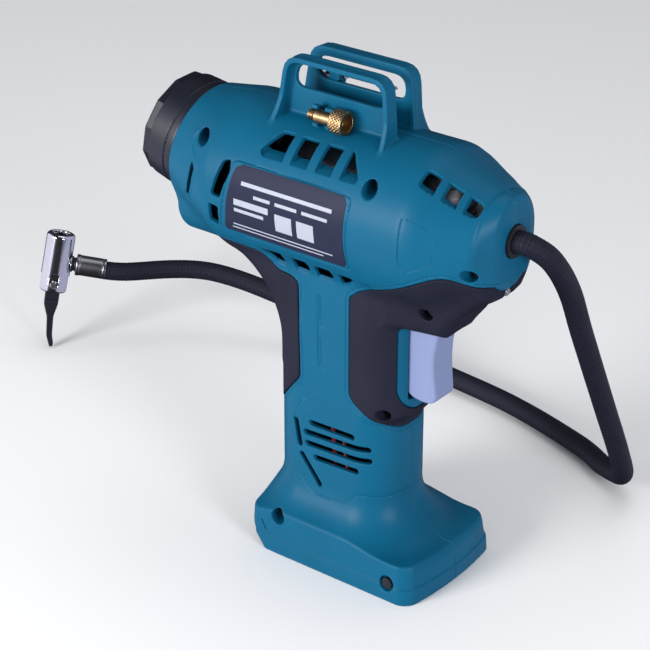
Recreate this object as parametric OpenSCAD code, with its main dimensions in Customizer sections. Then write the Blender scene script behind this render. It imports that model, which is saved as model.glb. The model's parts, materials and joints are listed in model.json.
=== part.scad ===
// Cordless portable tire inflator, pistol shape, as an assembly of separate pieces.
// Millimetres, +X to the nose, -Y to the screw side, +Z up, origin under the foot.

/* [Housing] */
// Outer radius of the barrel
barrel_r = 39.7; // [39.6:0.1:40.2]
// Thickness of the housing wall
wall = 2.6; // [2.4:0.1:2.7]
// Depth of the grip from front to back
grip_l = 73; // [72.6:0.2:73.4]
// Width of the grip
grip_w = 46; // [45.6:0.2:46.4]
// Width of the foot at the table
foot_w = 74; // [73:0.5:75]
// Thickness of the soft grip pads
pad_t = 0.9; // [0.7:0.1:1.1]
// Height of the hose loops above the table
loop_top = 259.6; // [258:0.2:261]
// Width of the hose channel between the loops
loop_gap = 13; // [12.6:0.2:13.4]

/* [Rear panel] */
// Tilt of the rear panel from vertical
panel_tilt = 12.4; // [12:0.2:12.8]
// Outer radius of the bezel at its rear edge
bezel_r = 27.6; // [27.2:0.1:27.8]
// Travel of a push button
button_travel = 0.8; // [0.5:0.1:0.9]

/* [Trigger] */
// Width of the trigger
trigger_w = 18; // [17:0.5:18]
// Height of the trigger
trigger_h = 40; // [39:0.5:40]
// Travel of the trigger
trigger_travel = 6; // [4:0.5:6]

/* [Drive] */
// Radius of the motor can
motor_r = 18; // [17.6:0.1:18]
// Throw of the crank pin
crank_throw = 4.5; // [3.5:0.1:4.5]
// Radius of the pump bore
bore_r = 10.03; // [10.01:0.01:10.05]

/* [Hose] */
// Outer radius of the hose
hose_r = 5.6; // [5.4:0.1:5.7]
// Radius of the chuck body
chuck_r = 8.5; // [8.2:0.1:8.6]
// Radius of the chuck's valve bore
valve_r = 4.2; // [4.1:0.05:4.3]

/* [Hidden] */
$fn = 64;

gap = 0.03;
barrel_z = 191.5;
barrel_x0 = -75;
barrel_x1 = 44;
nose_x = 73;
nose_r = 26;
face_x = 79.5;
grip_x = -12;
grip_r = 20;
bulge = 5;
foot_h = 22;
panel_at = [-103.4, 0, 198.7];
panel_r = 30;
panel_h = 20;
led_at = [74, 0, 167.5];
hole_z = 193.8;

// Drive layout: the crank gear is 36 teeth and the pinion 9, so the crank turns at a quarter of the motor's speed
motor_z = 196.5;
gear_module = 1;
gear_teeth = 36;
pinion_teeth = 9;
gear_centre = gear_module * (gear_teeth + pinion_teeth) / 2;
crank_z = motor_z - gear_centre;
gear_x = 23.5;
gear_t = 4.5;
pump_x = 42.5;
rod_l = 21;
rod_t = 5;
wrist_z = crank_z + crank_throw + rod_l;
piston_r = bore_r - 0.06;
piston_z0 = 196.5;
piston_z1 = 213.8;
cylinder_z0 = 185.5;
cylinder_z1 = 214.5;

// Screw posts of the two halves: x, z, depth of the pocket floor, pocket radius
screws = [[-79, 214.5, 22, 4], [20.6, 214.3, 22, 4], [69.5, 182.6, 16, 3.6],
  [44.6, 153.4, 12, 3.6], [17.4, 90, 9, 3.4], [-33.5, 20.4, 27, 4], [36, 9.4, 33.4, 4]];
post_r = 5.2;
screw_r = 1.45;
screw_head_r = 2.9;

// Chuck frame: stem direction, pin direction and chuck axis
chuck_at = [-284.4, 66.6, 52.8];
chuck_c = [0.035, 0.253, 0.966];
chuck_h = 36;
stem_dir = [0.757, 0.647, -0.085];
pin_z = -12.5;

function unit(v) = v / norm(v);
axis_c = unit(chuck_c);
axis_s = unit(stem_dir - (stem_dir * axis_c) * axis_c);
axis_p = cross(axis_c, axis_s);

// Hose centre line: fixed run from the nose, then the run that swings
hose_pivot = [57.5, 130.5, 7.4];
hose_start = [71.1, 0, hole_z];
run_fixed = [[81, 0, hole_z], [86.5, 1.5, 193], [92, 12, 183], [89.5, 33, 159], [86, 53, 127],
  [83.4, 82, 76], [82, 104, 36], [76, 120, 13], hose_pivot];
run_free = [hose_pivot, [34, 143, 6.3], [-20, 158, 6.2], [-84, 163, 8.6],
  [-150, 152, 25], [-215, 128, 43], chuck_at + 38 * axis_s];
hose_end = chuck_at + 20 * axis_s;

function turn(a, b) = acos(max(-1, min(1, unit(a) * unit(b))));
function dir_at(p, i) = unit(p[i + 1] - p[i]);
function columns(x, y, z, o) = [[x[0], y[0], z[0], o[0]], [x[1], y[1], z[1], o[1]],
  [x[2], y[2], z[2], o[2]], [0, 0, 0, 1]];
function side_of(d) = unit(cross(d, abs(d[2]) > 0.9 ? [1, 0, 0] : [0, 0, 1]));
function tangent(p, i) = (p[min(i + 1, len(p) - 1)] - p[max(i - 1, 0)]) / 2;
function curve_at(p, i, t) = (2 * t * t * t - 3 * t * t + 1) * p[i]
  + (t * t * t - 2 * t * t + t) * tangent(p, i)
  + (3 * t * t - 2 * t * t * t) * p[i + 1]
  + (t * t * t - t * t) * tangent(p, i + 1);
// A smooth curve through the waypoints p, with n points to each span
function smooth(p, n) = [for (i = [0 : len(p) - 2]) for (k = [0 : n - 1]) curve_at(p, i, k / n),
  p[len(p) - 1]];

// A straight rod between two points
module rod(a, b, r) {
  d = unit(b - a);
  s = side_of(d);
  multmatrix(columns(s, cross(d, s), d, a)) cylinder(r = r, h = norm(b - a), $fn = 24);
}

// A round line through points, with a ball just wide enough to close each corner
module run(p, r) {
  for (i = [0 : len(p) - 2]) rod(p[i], p[i + 1], r);
  for (i = [1 : len(p) - 2])
    translate(p[i]) sphere(r = r / cos(turn(dir_at(p, i - 1), dir_at(p, i)) / 2) + 0.02, $fn = 24);
}

// A flat-sided tube through points, n sides round; ref is never along the path
module strand(p, r, n, ref) {
  last = len(p) - 1;
  function along(i) = unit((i == 0 ? [0, 0, 0] : dir_at(p, i - 1)) + (i == last ? [0, 0, 0] : dir_at(p, i)));
  function spot(i, k) = let (d = along(i), a = unit(cross(d, ref)), b = cross(a, d))
    p[i] + r * (cos(k * 360 / n) * a + sin(k * 360 / n) * b);
  polyhedron(
    points = [for (i = [0 : last]) for (k = [0 : n - 1]) spot(i, k)],
    faces = concat([[for (k = [n - 1 : -1 : 0]) k]], [[for (k = [0 : n - 1]) last * n + k]],
      [for (i = [0 : last - 1]) for (k = [0 : n - 1]) for (h = [0, 1])
        h == 0 ? [i * n + k, i * n + (k + 1) % n, (i + 1) * n + (k + 1) % n]
               : [i * n + k, (i + 1) * n + (k + 1) % n, (i + 1) * n + k]]));
}

module along_x(x, z = barrel_z) {
  translate([x, 0, z]) rotate([0, 90, 0]) children();
}

module across_y(x, z, y0, y1, r) {
  translate([x, y1, z]) rotate([90, 0, 0]) cylinder(r = r, h = y1 - y0, $fn = 32);
}

// Local frame of the rear panel: +Z out of the panel, +X up
module on_panel(d = 0) {
  translate(panel_at) rotate([0, panel_tilt - 90, 0]) translate([0, 0, d]) children();
}

module chuck_frame() {
  multmatrix(columns(axis_s, axis_p, axis_c, chuck_at)) children();
}

// A rectangle with round corners, drawn with true arcs
module round_rect(x0, x1, w, r) {
  translate([x0 + r, -w / 2]) square([x1 - x0 - 2 * r, w]);
  translate([x0, -w / 2 + r]) square([x1 - x0, w - 2 * r]);
  for (x = [x0 + r, x1 - r]) for (y = [-w / 2 + r, w / 2 - r]) translate([x, y]) circle(r = r, $fn = 96);
}

module side_plate(y0, y1) {
  translate([0, y1, 0]) rotate([90, 0, 0]) linear_extrude(y1 - y0) children();
}

// Outer skins, each grown by o
module skin_barrel(o) {
  along_x(barrel_x0) cylinder(r = barrel_r + o, h = barrel_x1 - barrel_x0, $fn = 128);
  along_x(barrel_x1) cylinder(r1 = barrel_r + o, r2 = nose_r + o, h = nose_x - barrel_x1, $fn = 128);
}

module skin_grip(o) {
  x0 = grip_x - grip_l / 2 - o;
  x1 = grip_x + grip_l / 2 + o;
  translate([0, 0, 34 - o]) linear_extrude(131 + 2 * o) round_rect(x0, x1, grip_w + 2 * o, grip_r + o);
  translate([0, 0, 86 - o]) linear_extrude(60 + 2 * o) round_rect(x0 + 20, x1 + bulge, grip_w + 2 * o, grip_r + o);
}

module skin_chin(o) {
  hull() {
    translate([9, 0, 138 - o]) cylinder(r = 21 + o, h = 2, $fn = 40);
    across_y(40, 151, -15 - o, 15 + o, 9 + o);
    across_y(66, 166.5, -8 - o, 8 + o, 5.5 + o);
    translate([14, 0, 166]) cylinder(r = 25 + o, h = 2, $fn = 40);
    across_y(52, 172, -22 - o, 22 + o, 6 + o);
  }
}

sweep_r = 42;
module skin_sweep(o) {
  side_plate(-16 - o, 16 + o) difference() {
    translate([-90.4 + o, 109.8]) square([58, 50]);
    translate([-90.4, 109.8]) circle(r = sweep_r - o, $fn = 128);
  }
}

module taper() {
  hull() {
    along_x(barrel_x0 - 0.4) cylinder(r = barrel_r, h = 0.5, $fn = 56);
    on_panel(-1) cylinder(r = panel_r, h = 1, $fn = 56);
  }
}

module nose_cap() {
  hull() {
    along_x(nose_x - 0.4) cylinder(r = nose_r, h = 0.4, $fn = 48);
    for (z = [-1, 1]) along_x(face_x - 1, barrel_z + 0.8 + z * 9.5) cylinder(r = 13, h = 1, $fn = 32);
  }
}

module foot_slab(x0, x1, w, front, z, h) {
  for (x = [x0 + 7, x1 - 7]) for (y = [-w / 2 + 7, w / 2 - 7]) translate([x, y, z]) cylinder(r = 7, h = h, $fn = 28);
  translate([front - 12, 0, z]) cylinder(r = 12, h = h, $fn = 28);
}

module foot() {
  hull() {
    foot_slab(-40.5, 49, foot_w, 52.5, 0, 1);
    foot_slab(-51.8, 46, foot_w - 4.4, 51, 14, foot_h - 14);
  }
  hull() {
    foot_slab(-51.8, 46, foot_w - 4.4, 51, foot_h - 2, 1.5);
    translate([grip_x - 16, 0, 42]) cylinder(r = 22.2, h = 2, $fn = 40);
    translate([grip_x + 14, 0, 42]) cylinder(r = 22.2, h = 2, $fn = 40);
  }
}

// Side view of one hose loop
loop_shape = [[-50, 222], [-44.6, 252], [-42.6, 256.6], [-39, loop_top], [9.4, loop_top],
  [14.4, 256.8], [16.6, 252], [17.8, 222]];
loop_inner = [[-47.4, 222], [-42.2, 251.6], [-40.6, 255.2], [-38.2, loop_top - 2.4],
  [8.6, loop_top - 2.4], [12.4, 255.2], [14.2, 251.6], [15.3, 222]];
loop_slot = [[-37.5, 243.8], [-40.2, 247.6], [-39, 252], [-36.6, 255], [7.6, 255], [10.8, 252.6],
  [11.6, 248], [8.4, 244]];

module loop_right() {
  y1 = -loop_gap / 2;
  side_plate(y1 - 7.4, y1) difference() {
    polygon(loop_shape);
    polygon(loop_inner);
  }
  side_plate(y1 - 2.5, y1) difference() {
    polygon(loop_shape);
    polygon(loop_slot);
  }
}

// Holder for a small part, open away from the loop
module clip(x0, x1, y, z, r) {
  h = r + 1.5;
  difference() {
    translate([x0, y, z - h]) cube([x1 - x0, -loop_gap / 2 - 2.4 - y, 2 * h]);
    along_x(x0 - 1, z) translate([0, y, 0]) cylinder(r = r, h = x1 - x0 + 2, $fn = 32);
  }
}

adapter_at = [-27, -15.2, 234.6];
needle_at = [-40, 13.2, 245.4];
cone_at = [-40, 14.4, 235.6];

// Hollow inside of the housing
module cavity() {
  ri = barrel_r - wall;
  along_x(barrel_x0 + 1) cylinder(r = ri, h = barrel_x1 - barrel_x0 - 0.9, $fn = 128);
  along_x(barrel_x1) cylinder(r1 = ri, r2 = nose_r - wall, h = nose_x - barrel_x1 - 2, $fn = 128);
  on_panel(-33.6) cylinder(r1 = 34.2, r2 = 26.4, h = 30.6, $fn = 96);
  on_panel(-4) cylinder(r = 26.4, h = 6, $fn = 96);
  x0 = grip_x - grip_l / 2 + wall;
  x1 = grip_x + grip_l / 2 - wall;
  translate([0, 0, 24]) linear_extrude(142) round_rect(x0, x1, grip_w - 2 * wall, grip_r - wall);
  translate([0, 0, 92]) linear_extrude(54) round_rect(x0 + 20, x1 + bulge, grip_w - 2 * wall, grip_r - wall);
  translate([27, -14, 150]) cube([22, 28, 20]);
  translate([-60, -26, -1]) cube([100, 52, 4]);
  translate([-60, -30.5, 2.5]) cube([100, 61, 9.5]);
  translate([-30, -17, 11]) cube([40, 34, 14]);
}

// Openings through the wall, mirrored on both sides
module vent(x0, x1, a0, lean = 0) {
  translate([0, 0, barrel_z]) rotate([a0, 0, 0])
    translate([x0, -4.6, barrel_r - 6]) multmatrix([[1, lean, 0, 0], [0, 1, 0, 0], [0, 0, 1, 0]]) cube([x1 - x0, 9.2, 10]);
}

module vents() {
  for (m = [0, 1]) mirror([0, m, 0]) {
    for (x = [-40, -22, -8, 4]) vent(x, x + 9, 42);
    for (x = [-45, -28, -13, 2]) vent(x, x + 9, 134);
    for (x = [50, 59.5, 69]) translate([x - 2, -34, 213]) cube([7, 16, 5]);
    translate([-70, -42, 196]) cube([6, 12, 13]);
    translate([-71, -42, 175]) cube([6, 12, 10]);
    for (i = [0 : 3]) translate([-20 + (i % 3 == 0 ? 3 : 0), -26, 55 + 6.4 * i]) cube([i % 3 == 0 ? 24 : 33, 8, 3]);
  }
}

module posts() {
  for (s = screws) {
    across_y(s[0], s[1], -s[2] - 5, 60, post_r);
  }
}

module housing_half() {
  difference() {
    union() {
      skin_barrel(0);
      taper();
      nose_cap();
      skin_grip(0);
      skin_chin(0);
      skin_sweep(0);
      foot();
      loop_right();
      mirror([0, 1, 0]) loop_right();
      for (x = [-25.2, -17.6]) clip(x, x + (x < -20 ? 3 : 5), adapter_at[1], adapter_at[2], 3.6);
      mirror([0, 1, 0]) clip(-34, -28, -needle_at[1], needle_at[2], 2.2);
      mirror([0, 1, 0]) clip(-38, -31, -cone_at[1], cone_at[2], 4.1);
    }
    difference() {
      cavity();
      posts();
    }
    vents();
    along_x(nose_x - 6, hole_z) cylinder(r = 8, h = 20, $fn = 48);
    along_x(led_at[0] - 9, led_at[2]) cylinder(r = 2.55, h = 16, $fn = 32);
    translate([16, -trigger_w / 2 - 0.3, 98.6]) cube([25, trigger_w + 0.6, trigger_h + 2]);
    for (s = screws) {
      across_y(s[0], s[1], -60, -s[2], s[3]);
      across_y(s[0], s[1], -s[2] - 1, 0, 1.8);
      across_y(s[0], s[1], -1, 10, screw_r + 0.05);
    }
  }
}

module housing_right() {
  color([0.13, 0.42, 0.58]) intersection() {
    housing_half();
    translate([-200, -100, -5]) cube([400, 100 - gap, 300]);
  }
}

module housing_left() {
  color([0.13, 0.42, 0.58]) intersection() {
    housing_half();
    translate([-200, gap, -5]) cube([400, 100, 300]);
  }
}

front_pad = [[2.5, 103], [2.5, 146], [5, 152.5], [11, 156.5], [31, 164.5], [49, 173.5], [58, 178.6],
  [64, 180], [72, 176.5], [84, 171], [84, 130], [60, 78], [25, 80], [21, 84], [15.5, 88.5], [7, 95]];
rear_pad = [[-29, 100], [-29, 147], [-34, 152.6], [-44, 156], [-52, 160], [-80, 160], [-88, 156],
  [-88, 130], [-60, 90], [-56, 74], [-46, 80], [-40, 86], [-31, 96]];

// One soft pad: a skin over the housing, cut to its outline, on the side y < 0
module pad_front() {
  difference() {
    intersection() {
      difference() {
        union() {
          skin_barrel(pad_t);
          skin_grip(pad_t);
          skin_chin(pad_t);
        }
        skin_barrel(0.02);
        skin_grip(0.02);
        skin_chin(0.02);
      }
      side_plate(-60, -gap) polygon(front_pad);
    }
    translate([25, -14, 97]) cube([30, 20, 43]);
    along_x(led_at[0] - 12, led_at[2]) cylinder(r = 4, h = 30, $fn = 32);
    for (s = screws) across_y(s[0], s[1], -60, 0, s[3] + 0.4);
    translate([nose_x - 1, -30, 150]) cube([20, 40, 60]);
  }
}

module pad_rear() {
  intersection() {
    difference() {
      union() {
        skin_barrel(pad_t);
        skin_grip(pad_t);
        skin_sweep(pad_t);
      }
      skin_barrel(0.02);
      skin_grip(0.02);
      skin_sweep(0.02);
      translate([-200, -60, 140]) cube([200 + barrel_x0 + 0.5, 120, 60]);
    }
    side_plate(-60, -gap) polygon(rear_pad);
  }
}

module pad_front_right() {
  color([0.2, 0.19, 0.24]) pad_front();
}

module pad_front_left() {
  color([0.2, 0.19, 0.24]) mirror([0, 1, 0]) pad_front();
}

module pad_rear_right() {
  color([0.2, 0.19, 0.24]) pad_rear();
}

module pad_rear_left() {
  color([0.2, 0.19, 0.24]) mirror([0, 1, 0]) pad_rear();
}

// Rear panel
lens_w = 34;
lens_h = 17;
lens_up = 7;
face_d = 15;
board_d = 8;
flange_d = 12.2;
button_r = 3.6;
buttons = [[-8, -12], [-8, 12], [-14.5, -4.6], [-14.5, 4.6]];

module rear_bezel() {
  color([0.07, 0.07, 0.08]) difference() {
    union() {
      on_panel(0) cylinder(r1 = 28.9, r2 = bezel_r, h = panel_h, $fn = 96);
      on_panel(-3.6) cylinder(r = 26.3, h = 4, $fn = 96);
    }
    on_panel(face_d + 2) cylinder(r = bezel_r - 2.2, h = 10, $fn = 96);
    on_panel(-5) cylinder(r = 24, h = face_d + 5, $fn = 96);
    on_panel(face_d - 1) translate([lens_up - lens_h / 2, -lens_w / 2, 0]) cube([lens_h, lens_w, 5]);
    for (b = buttons) on_panel(face_d - 1) translate([b[0], b[1], 0]) cylinder(r = button_r + 0.1, h = 5, $fn = 32);
  }
}

module display_lens() {
  color([0.1, 0.12, 0.14]) on_panel(face_d + 0.1)
    translate([lens_up - lens_h / 2 + 0.1, -lens_w / 2 + 0.1, 0]) cube([lens_h - 0.2, lens_w - 0.2, 1.9]);
}

module display_board() {
  color([0.1, 0.35, 0.2]) {
    difference() {
      on_panel(board_d) cylinder(r = 23.5, h = 1.6, $fn = 64);
      on_panel(board_d - 1) translate([-20, 0, 0]) cylinder(r = 1.2, h = 4, $fn = 16);
    }
    on_panel(board_d + 1.6) translate([lens_up - 8, -16.5, 0]) cube([16, 33, 4.2]);
    for (b = buttons) on_panel(board_d + 1.6) translate([b[0] - 2, b[1] - 2, 0])
      cube([4, 4, flange_d - button_travel - 0.4 - board_d - 1.6]);
  }
}

module button_at(i) {
  b = buttons[i];
  color([0.75, 0.77, 0.8]) {
    on_panel(flange_d) translate([b[0], b[1], 0]) cylinder(r = button_r, h = 5.6, $fn = 32);
    on_panel(flange_d) translate([b[0], b[1], 0]) cylinder(r = button_r + 0.8, h = 1.6, $fn = 32);
  }
}

module button_power() { button_at(0); }
module button_mode() { button_at(1); }
module button_plus() { button_at(2); }
module button_minus() { button_at(3); }

module housing_screws() {
  color([0.6, 0.6, 0.62]) for (s = screws) {
    across_y(s[0], s[1], -s[2] - 2.2, -s[2] - 0.02, screw_head_r);
    across_y(s[0], s[1], -s[2] - 0.02, 8, screw_r);
  }
}

module rating_label() {
  color([0.17, 0.19, 0.3]) intersection() {
    difference() {
      along_x(-63) cylinder(r = barrel_r + 0.28, h = 74, $fn = 128);
      along_x(-64) cylinder(r = barrel_r + 0.03, h = 76, $fn = 128);
    }
    side_plate(-50, -20) polygon([[-62.5, 174.6], [-60.5, 181], [-56, 204], [-54.6, 207.6], [-51, 209.4],
      [8.6, 209.4], [11, 206.5], [11, 176], [9, 173.6], [-61, 173.6]]);
  }
}

module led_lens() {
  color([0.9, 0.92, 0.95, 0.5]) {
    along_x(led_at[0] - 6, led_at[2]) cylinder(r = 2.5, h = 7, $fn = 32);
    translate([led_at[0] + 1, 0, led_at[2]]) sphere(r = 2.5, $fn = 24);
  }
}

module led_board() {
  side = 3.4;
  color([0.1, 0.35, 0.2]) translate([led_at[0] - 8, -side / 2, led_at[2] - side / 2]) cube([1.2, side, side]);
}

// Control pieces
trigger_x = 21;
switch_x1 = trigger_x - trigger_travel - 0.5;
module trigger_switch() {
  color([0.12, 0.12, 0.13]) difference() {
    translate([-12, -8.5, 106]) cube([switch_x1 + 12, 17, 30]);
    along_x(2, 120) cylinder(r = 3.06, h = 20, $fn = 32);
  }
}

module switch_plunger() {
  color([0.85, 0.85, 0.82]) along_x(9.2, 120) cylinder(r = 3, h = 11.7, $fn = 32);
}

module trigger() {
  w = trigger_w / 2 - 0.1;
  z0 = 99;
  z1 = 99 + trigger_h;
  color([0.68, 0.72, 0.88]) {
    side_plate(-w, w) polygon([[24, z0 + 3], [29.5, z0 + 1.2], [41, z0], [43.2, z0 + 3.5], [42.2, z0 + 12],
      [41.6, z0 + 21], [42.2, z0 + 28], [43.4, z1 - 5], [43.4, z1], [24, z1]]);
    translate([trigger_x, -w, z0 + 2]) cube([3.1, 2 * w, trigger_h - 2]);
  }
}

module trigger_spring() {
  color([0.7, 0.7, 0.72]) for (i = [0 : 4]) along_x(switch_x1 + 0.2 + i * 1.3, 129)
    translate([0, 0, 0.35]) rotate_extrude($fn = 40) translate([2.6, 0]) circle(r = 0.34, $fn = 16);
}

module control_board() {
  color([0.1, 0.35, 0.2]) {
    translate([-38, 11, 52]) cube([46, 1.6, 48]);
    translate([-30, 4, 60]) cube([10, 7, 14]);
    translate([-14, 6, 62]) cube([12, 5, 10]);
    for (i = [0 : 2]) translate([-34 + i * 9, 11, 88]) rotate([90, 0, 0]) cylinder(r = 3.2, h = 8, $fn = 32);
  }
}

module terminal_block() {
  color([0.1, 0.1, 0.1]) difference() {
    translate([-28, -16, 12.5]) cube([36, 32, 10]);
    for (y = [-10, 0, 10]) translate([-20, y - 0.5, 11]) cube([14.4, 1, 14]);
  }
}

module terminal_blades() {
  color([0.85, 0.7, 0.35]) for (y = [-10, 0, 10]) translate([-19.8, y - 0.4, 4]) cube([14, 0.8, 21]);
}

wires = [
  [[-13, -10, 25.4], [-15, -12, 60], [-16, -12, 96], [-8, -10, 101], [-6, -6, 104.4]],
  [[-13, 0, 25.4], [-20, 4, 44], [-24, 8, 51.6]],
  [[-4, 6, 136.6], [-10, 10, 150], [-30, 12, 168], [-52, 8, 180]],
  [[-30, 9, 101.4], [-36, 8, 130], [-38, 9, 158], [-60, 12, 173], [-84, 16, 184], [-92, 14, 190]]];

module wiring() {
  color([0.6, 0.1, 0.1]) for (w = wires) strand(smooth(w, 2), 1.1, 8, [0, 1, 0]);
}

// Drive
module motor_can() {
  color([0.6, 0.62, 0.64]) difference() {
    along_x(-46, motor_z) cylinder(r = motor_r, h = 58.5, $fn = 64);
    along_x(-47, motor_z) cylinder(r = motor_r - 1.4, h = 58, $fn = 64);
    along_x(0, motor_z) cylinder(r = 3.2, h = 20, $fn = 32);
  }
}

module motor_endbell() {
  color([0.14, 0.14, 0.15]) difference() {
    union() {
      along_x(-50.5, motor_z) cylinder(r = motor_r, h = 4.4, $fn = 64);
      along_x(-53, motor_z) cylinder(r = 5, h = 3, $fn = 32);
    }
    along_x(-60, motor_z) cylinder(r = 1.62, h = 20, $fn = 32);
  }
}

module armature() {
  color([0.55, 0.4, 0.3]) {
    along_x(-61, motor_z) cylinder(r = 1.56, h = 89, $fn = 32);
    along_x(-36, motor_z) cylinder(r = 15.6, h = 40, $fn = 48);
    along_x(-44, motor_z) cylinder(r = 5.5, h = 7, $fn = 32);
  }
}

module motor_fan() {
  color([0.2, 0.2, 0.22]) {
    difference() {
      along_x(-60.5, motor_z) cylinder(r = 5, h = 6, $fn = 32);
      along_x(-62, motor_z) cylinder(r = 1.6, h = 12, $fn = 32);
    }
    for (i = [0 : 6]) translate([0, 0, motor_z]) rotate([i * 360 / 7, 0, 0]) translate([-59, -0.6, 4.6])
      rotate([0, 0, 14]) cube([4, 1.2, 11.4]);
  }
}

// A gear with straight-sided thin teeth, phase turned by a tooth angle
module gear_plate(n, phase) {
  rp = gear_module * n / 2;
  root = rp - 1.05;
  tip = rp + 0.75;
  function at(r, w, k) = [r * cos(k * 360 / n + phase + w / r * 57.3), r * sin(k * 360 / n + phase + w / r * 57.3)];
  polygon([for (k = [0 : n - 1]) for (j = [0 : 3])
    j == 0 ? at(root, -0.85, k) : j == 1 ? at(tip, -0.34, k) : j == 2 ? at(tip, 0.34, k) : at(root, 0.85, k)]);
}

module pinion() {
  color([0.75, 0.7, 0.5]) along_x(gear_x, motor_z) linear_extrude(gear_t) difference() {
    gear_plate(pinion_teeth, 180 / pinion_teeth);
    circle(r = 1.6, $fn = 32);
  }
}

module crank_gear() {
  color([0.8, 0.8, 0.78]) along_x(gear_x, crank_z) linear_extrude(gear_t) difference() {
    gear_plate(gear_teeth, 0);
    circle(r = 3.05, $fn = 48);
  }
}

module crank_shaft() {
  color([0.6, 0.62, 0.64]) {
    along_x(gear_x - 1, crank_z) cylinder(r = 3, h = 12, $fn = 48);
    along_x(33.6, crank_z) cylinder(r = 8.6, h = 3, $fn = 48);
    along_x(36.4, crank_z + crank_throw) cylinder(r = 2, h = 9.6, $fn = 32);
  }
}

module crank_bearing() {
  color([0.7, 0.7, 0.72]) difference() {
    along_x(29.1, crank_z) cylinder(r = 6, h = 3.4, $fn = 48);
    along_x(28, crank_z) cylinder(r = 3.05, h = 6, $fn = 48);
  }
}

module connecting_rod() {
  x = pump_x - rod_t / 2;
  z0 = crank_z + crank_throw;
  color([0.85, 0.85, 0.8]) difference() {
    union() {
      along_x(x, z0) cylinder(r = 4.8, h = rod_t, $fn = 40);
      along_x(x, wrist_z) cylinder(r = 3.2, h = rod_t, $fn = 32);
      translate([x + 0.5, -2, z0 + 3]) cube([rod_t - 1, 4, rod_l - 4]);
    }
    along_x(x - 1, z0) cylinder(r = 2.05, h = rod_t + 2, $fn = 32);
  }
}

module piston() {
  color([0.8, 0.8, 0.82]) translate([pump_x, 0, 0]) difference() {
    translate([0, 0, piston_z0]) cylinder(r = piston_r, h = piston_z1 - piston_z0, $fn = 64);
    translate([0, 0, piston_z0 - 1]) cylinder(r = piston_r - 1.5, h = piston_z1 - piston_z0 - 0.8, $fn = 64);
    translate([0, 0, 208]) difference() {
      cylinder(r = 12, h = 2.4, $fn = 64);
      translate([0, 0, -1]) cylinder(r = piston_r - 0.8, h = 5, $fn = 64);
    }
  }
}

module piston_seal() {
  color([0.05, 0.05, 0.05]) translate([pump_x, 0, 208.1]) difference() {
    cylinder(r = piston_r, h = 2.2, $fn = 64);
    translate([0, 0, -1]) cylinder(r = piston_r - 0.75, h = 5, $fn = 64);
  }
}

module pump_frame() {
  color([0.7, 0.71, 0.73]) difference() {
    union() {
      along_x(13, motor_z) cylinder(r = 11, h = 3.2, $fn = 48);
      translate([13, -22, 166]) cube([3.2, 44, 24]);
      translate([29, -22, 166]) cube([3.6, 44, 16]);
      for (y = [-22, 20]) translate([13, y, 166]) cube([19, 2, 16]);
      translate([29, -10, 180]) cube([3.6, 20, 8]);
      translate([pump_x, 0, 184]) cylinder(r = 14.3, h = 4, $fn = 48);
    }
    translate([pump_x, 0, 170]) cylinder(r = 12.05, h = 30, $fn = 48);
    along_x(10, motor_z) cylinder(r = 6.4, h = 9, $fn = 32);
    along_x(10, crank_z) cylinder(r = 4, h = 9, $fn = 32);
    along_x(28, crank_z) cylinder(r = 6.02, h = 6, $fn = 48);
  }
}

module pump_cylinder() {
  color([0.75, 0.76, 0.78]) translate([pump_x, 0, 0]) difference() {
    union() {
      translate([0, 0, cylinder_z0]) cylinder(r = 12, h = cylinder_z1 - cylinder_z0, $fn = 48);
      for (i = [0 : 4]) translate([0, 0, 190.5 + 4.4 * i]) cylinder(r = 13, h = 1.4, $fn = 48);
    }
    translate([0, 0, cylinder_z0 - 1]) cylinder(r = bore_r, h = 40, $fn = 64);
  }
}

head_z = cylinder_z1 + 0.05;
port_h = 2.3;
fitting_x = 60.5;
head_screw_at = [[-8, -8], [-8, 8], [8, -8], [8, 8]];

module cylinder_head() {
  color([0.75, 0.76, 0.78]) translate([pump_x, 0, head_z]) difference() {
    union() {
      cylinder(r = 12, h = 5, $fn = 48);
      translate([10, -3, 0]) cube([4.5, 6, 4.5]);
    }
    translate([0, 0, 1.6]) cylinder(r = 4.3, h = 5, $fn = 40);
    translate([0, 0, -1]) cylinder(r = 1.2, h = 4, $fn = 24);
    translate([0, 0, port_h]) rotate([0, 90, 0]) cylinder(r = 1.2, h = 20, $fn = 24);
    for (p = head_screw_at) translate([p[0], p[1], -1]) cylinder(r = 1.25, h = 8, $fn = 24);
  }
}

module head_cap() {
  color([0.75, 0.76, 0.78]) translate([pump_x, 0, head_z + 5.05]) cylinder(r = 6, h = 1.6, $fn = 40);
}

module head_screws() {
  color([0.5, 0.5, 0.52]) translate([pump_x, 0, head_z]) for (p = head_screw_at) translate([p[0], p[1], 0]) {
    translate([0, 0, 5.05]) cylinder(r = 2, h = 1.6, $fn = 24);
    translate([0, 0, 0.6]) cylinder(r = 1.2, h = 4.6, $fn = 24);
  }
}

module check_valve() {
  color([0.1, 0.1, 0.1]) translate([pump_x, 0, head_z + 1.7]) cylinder(r = 3.6, h = 1, $fn = 32);
}

module valve_spring() {
  color([0.7, 0.7, 0.72]) translate([pump_x, 0, head_z + 2.8]) for (i = [0 : 2]) translate([0, 0, 0.25 + i * 0.7])
    rotate_extrude($fn = 32) translate([1.8, 0]) circle(r = 0.22, $fn = 12);
}

module outlet_fitting() {
  color([0.8, 0.66, 0.35]) difference() {
    union() {
      along_x(fitting_x, hole_z) cylinder(r = 4.2, h = hose_start[0] - 0.1 - fitting_x, $fn = 40);
      translate([fitting_x - 2.6, -3.6, hole_z - 3.6]) cube([5, 7.2, 7.2]);
      translate([fitting_x, 0, hole_z + 2]) cylinder(r = 2.4, h = 5, $fn = 24);
    }
    translate([fitting_x, 0, hole_z]) cylinder(r = 1.1, h = 20, $fn = 24);
    along_x(fitting_x, hole_z) cylinder(r = 1.1, h = 20, $fn = 24);
  }
}

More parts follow.
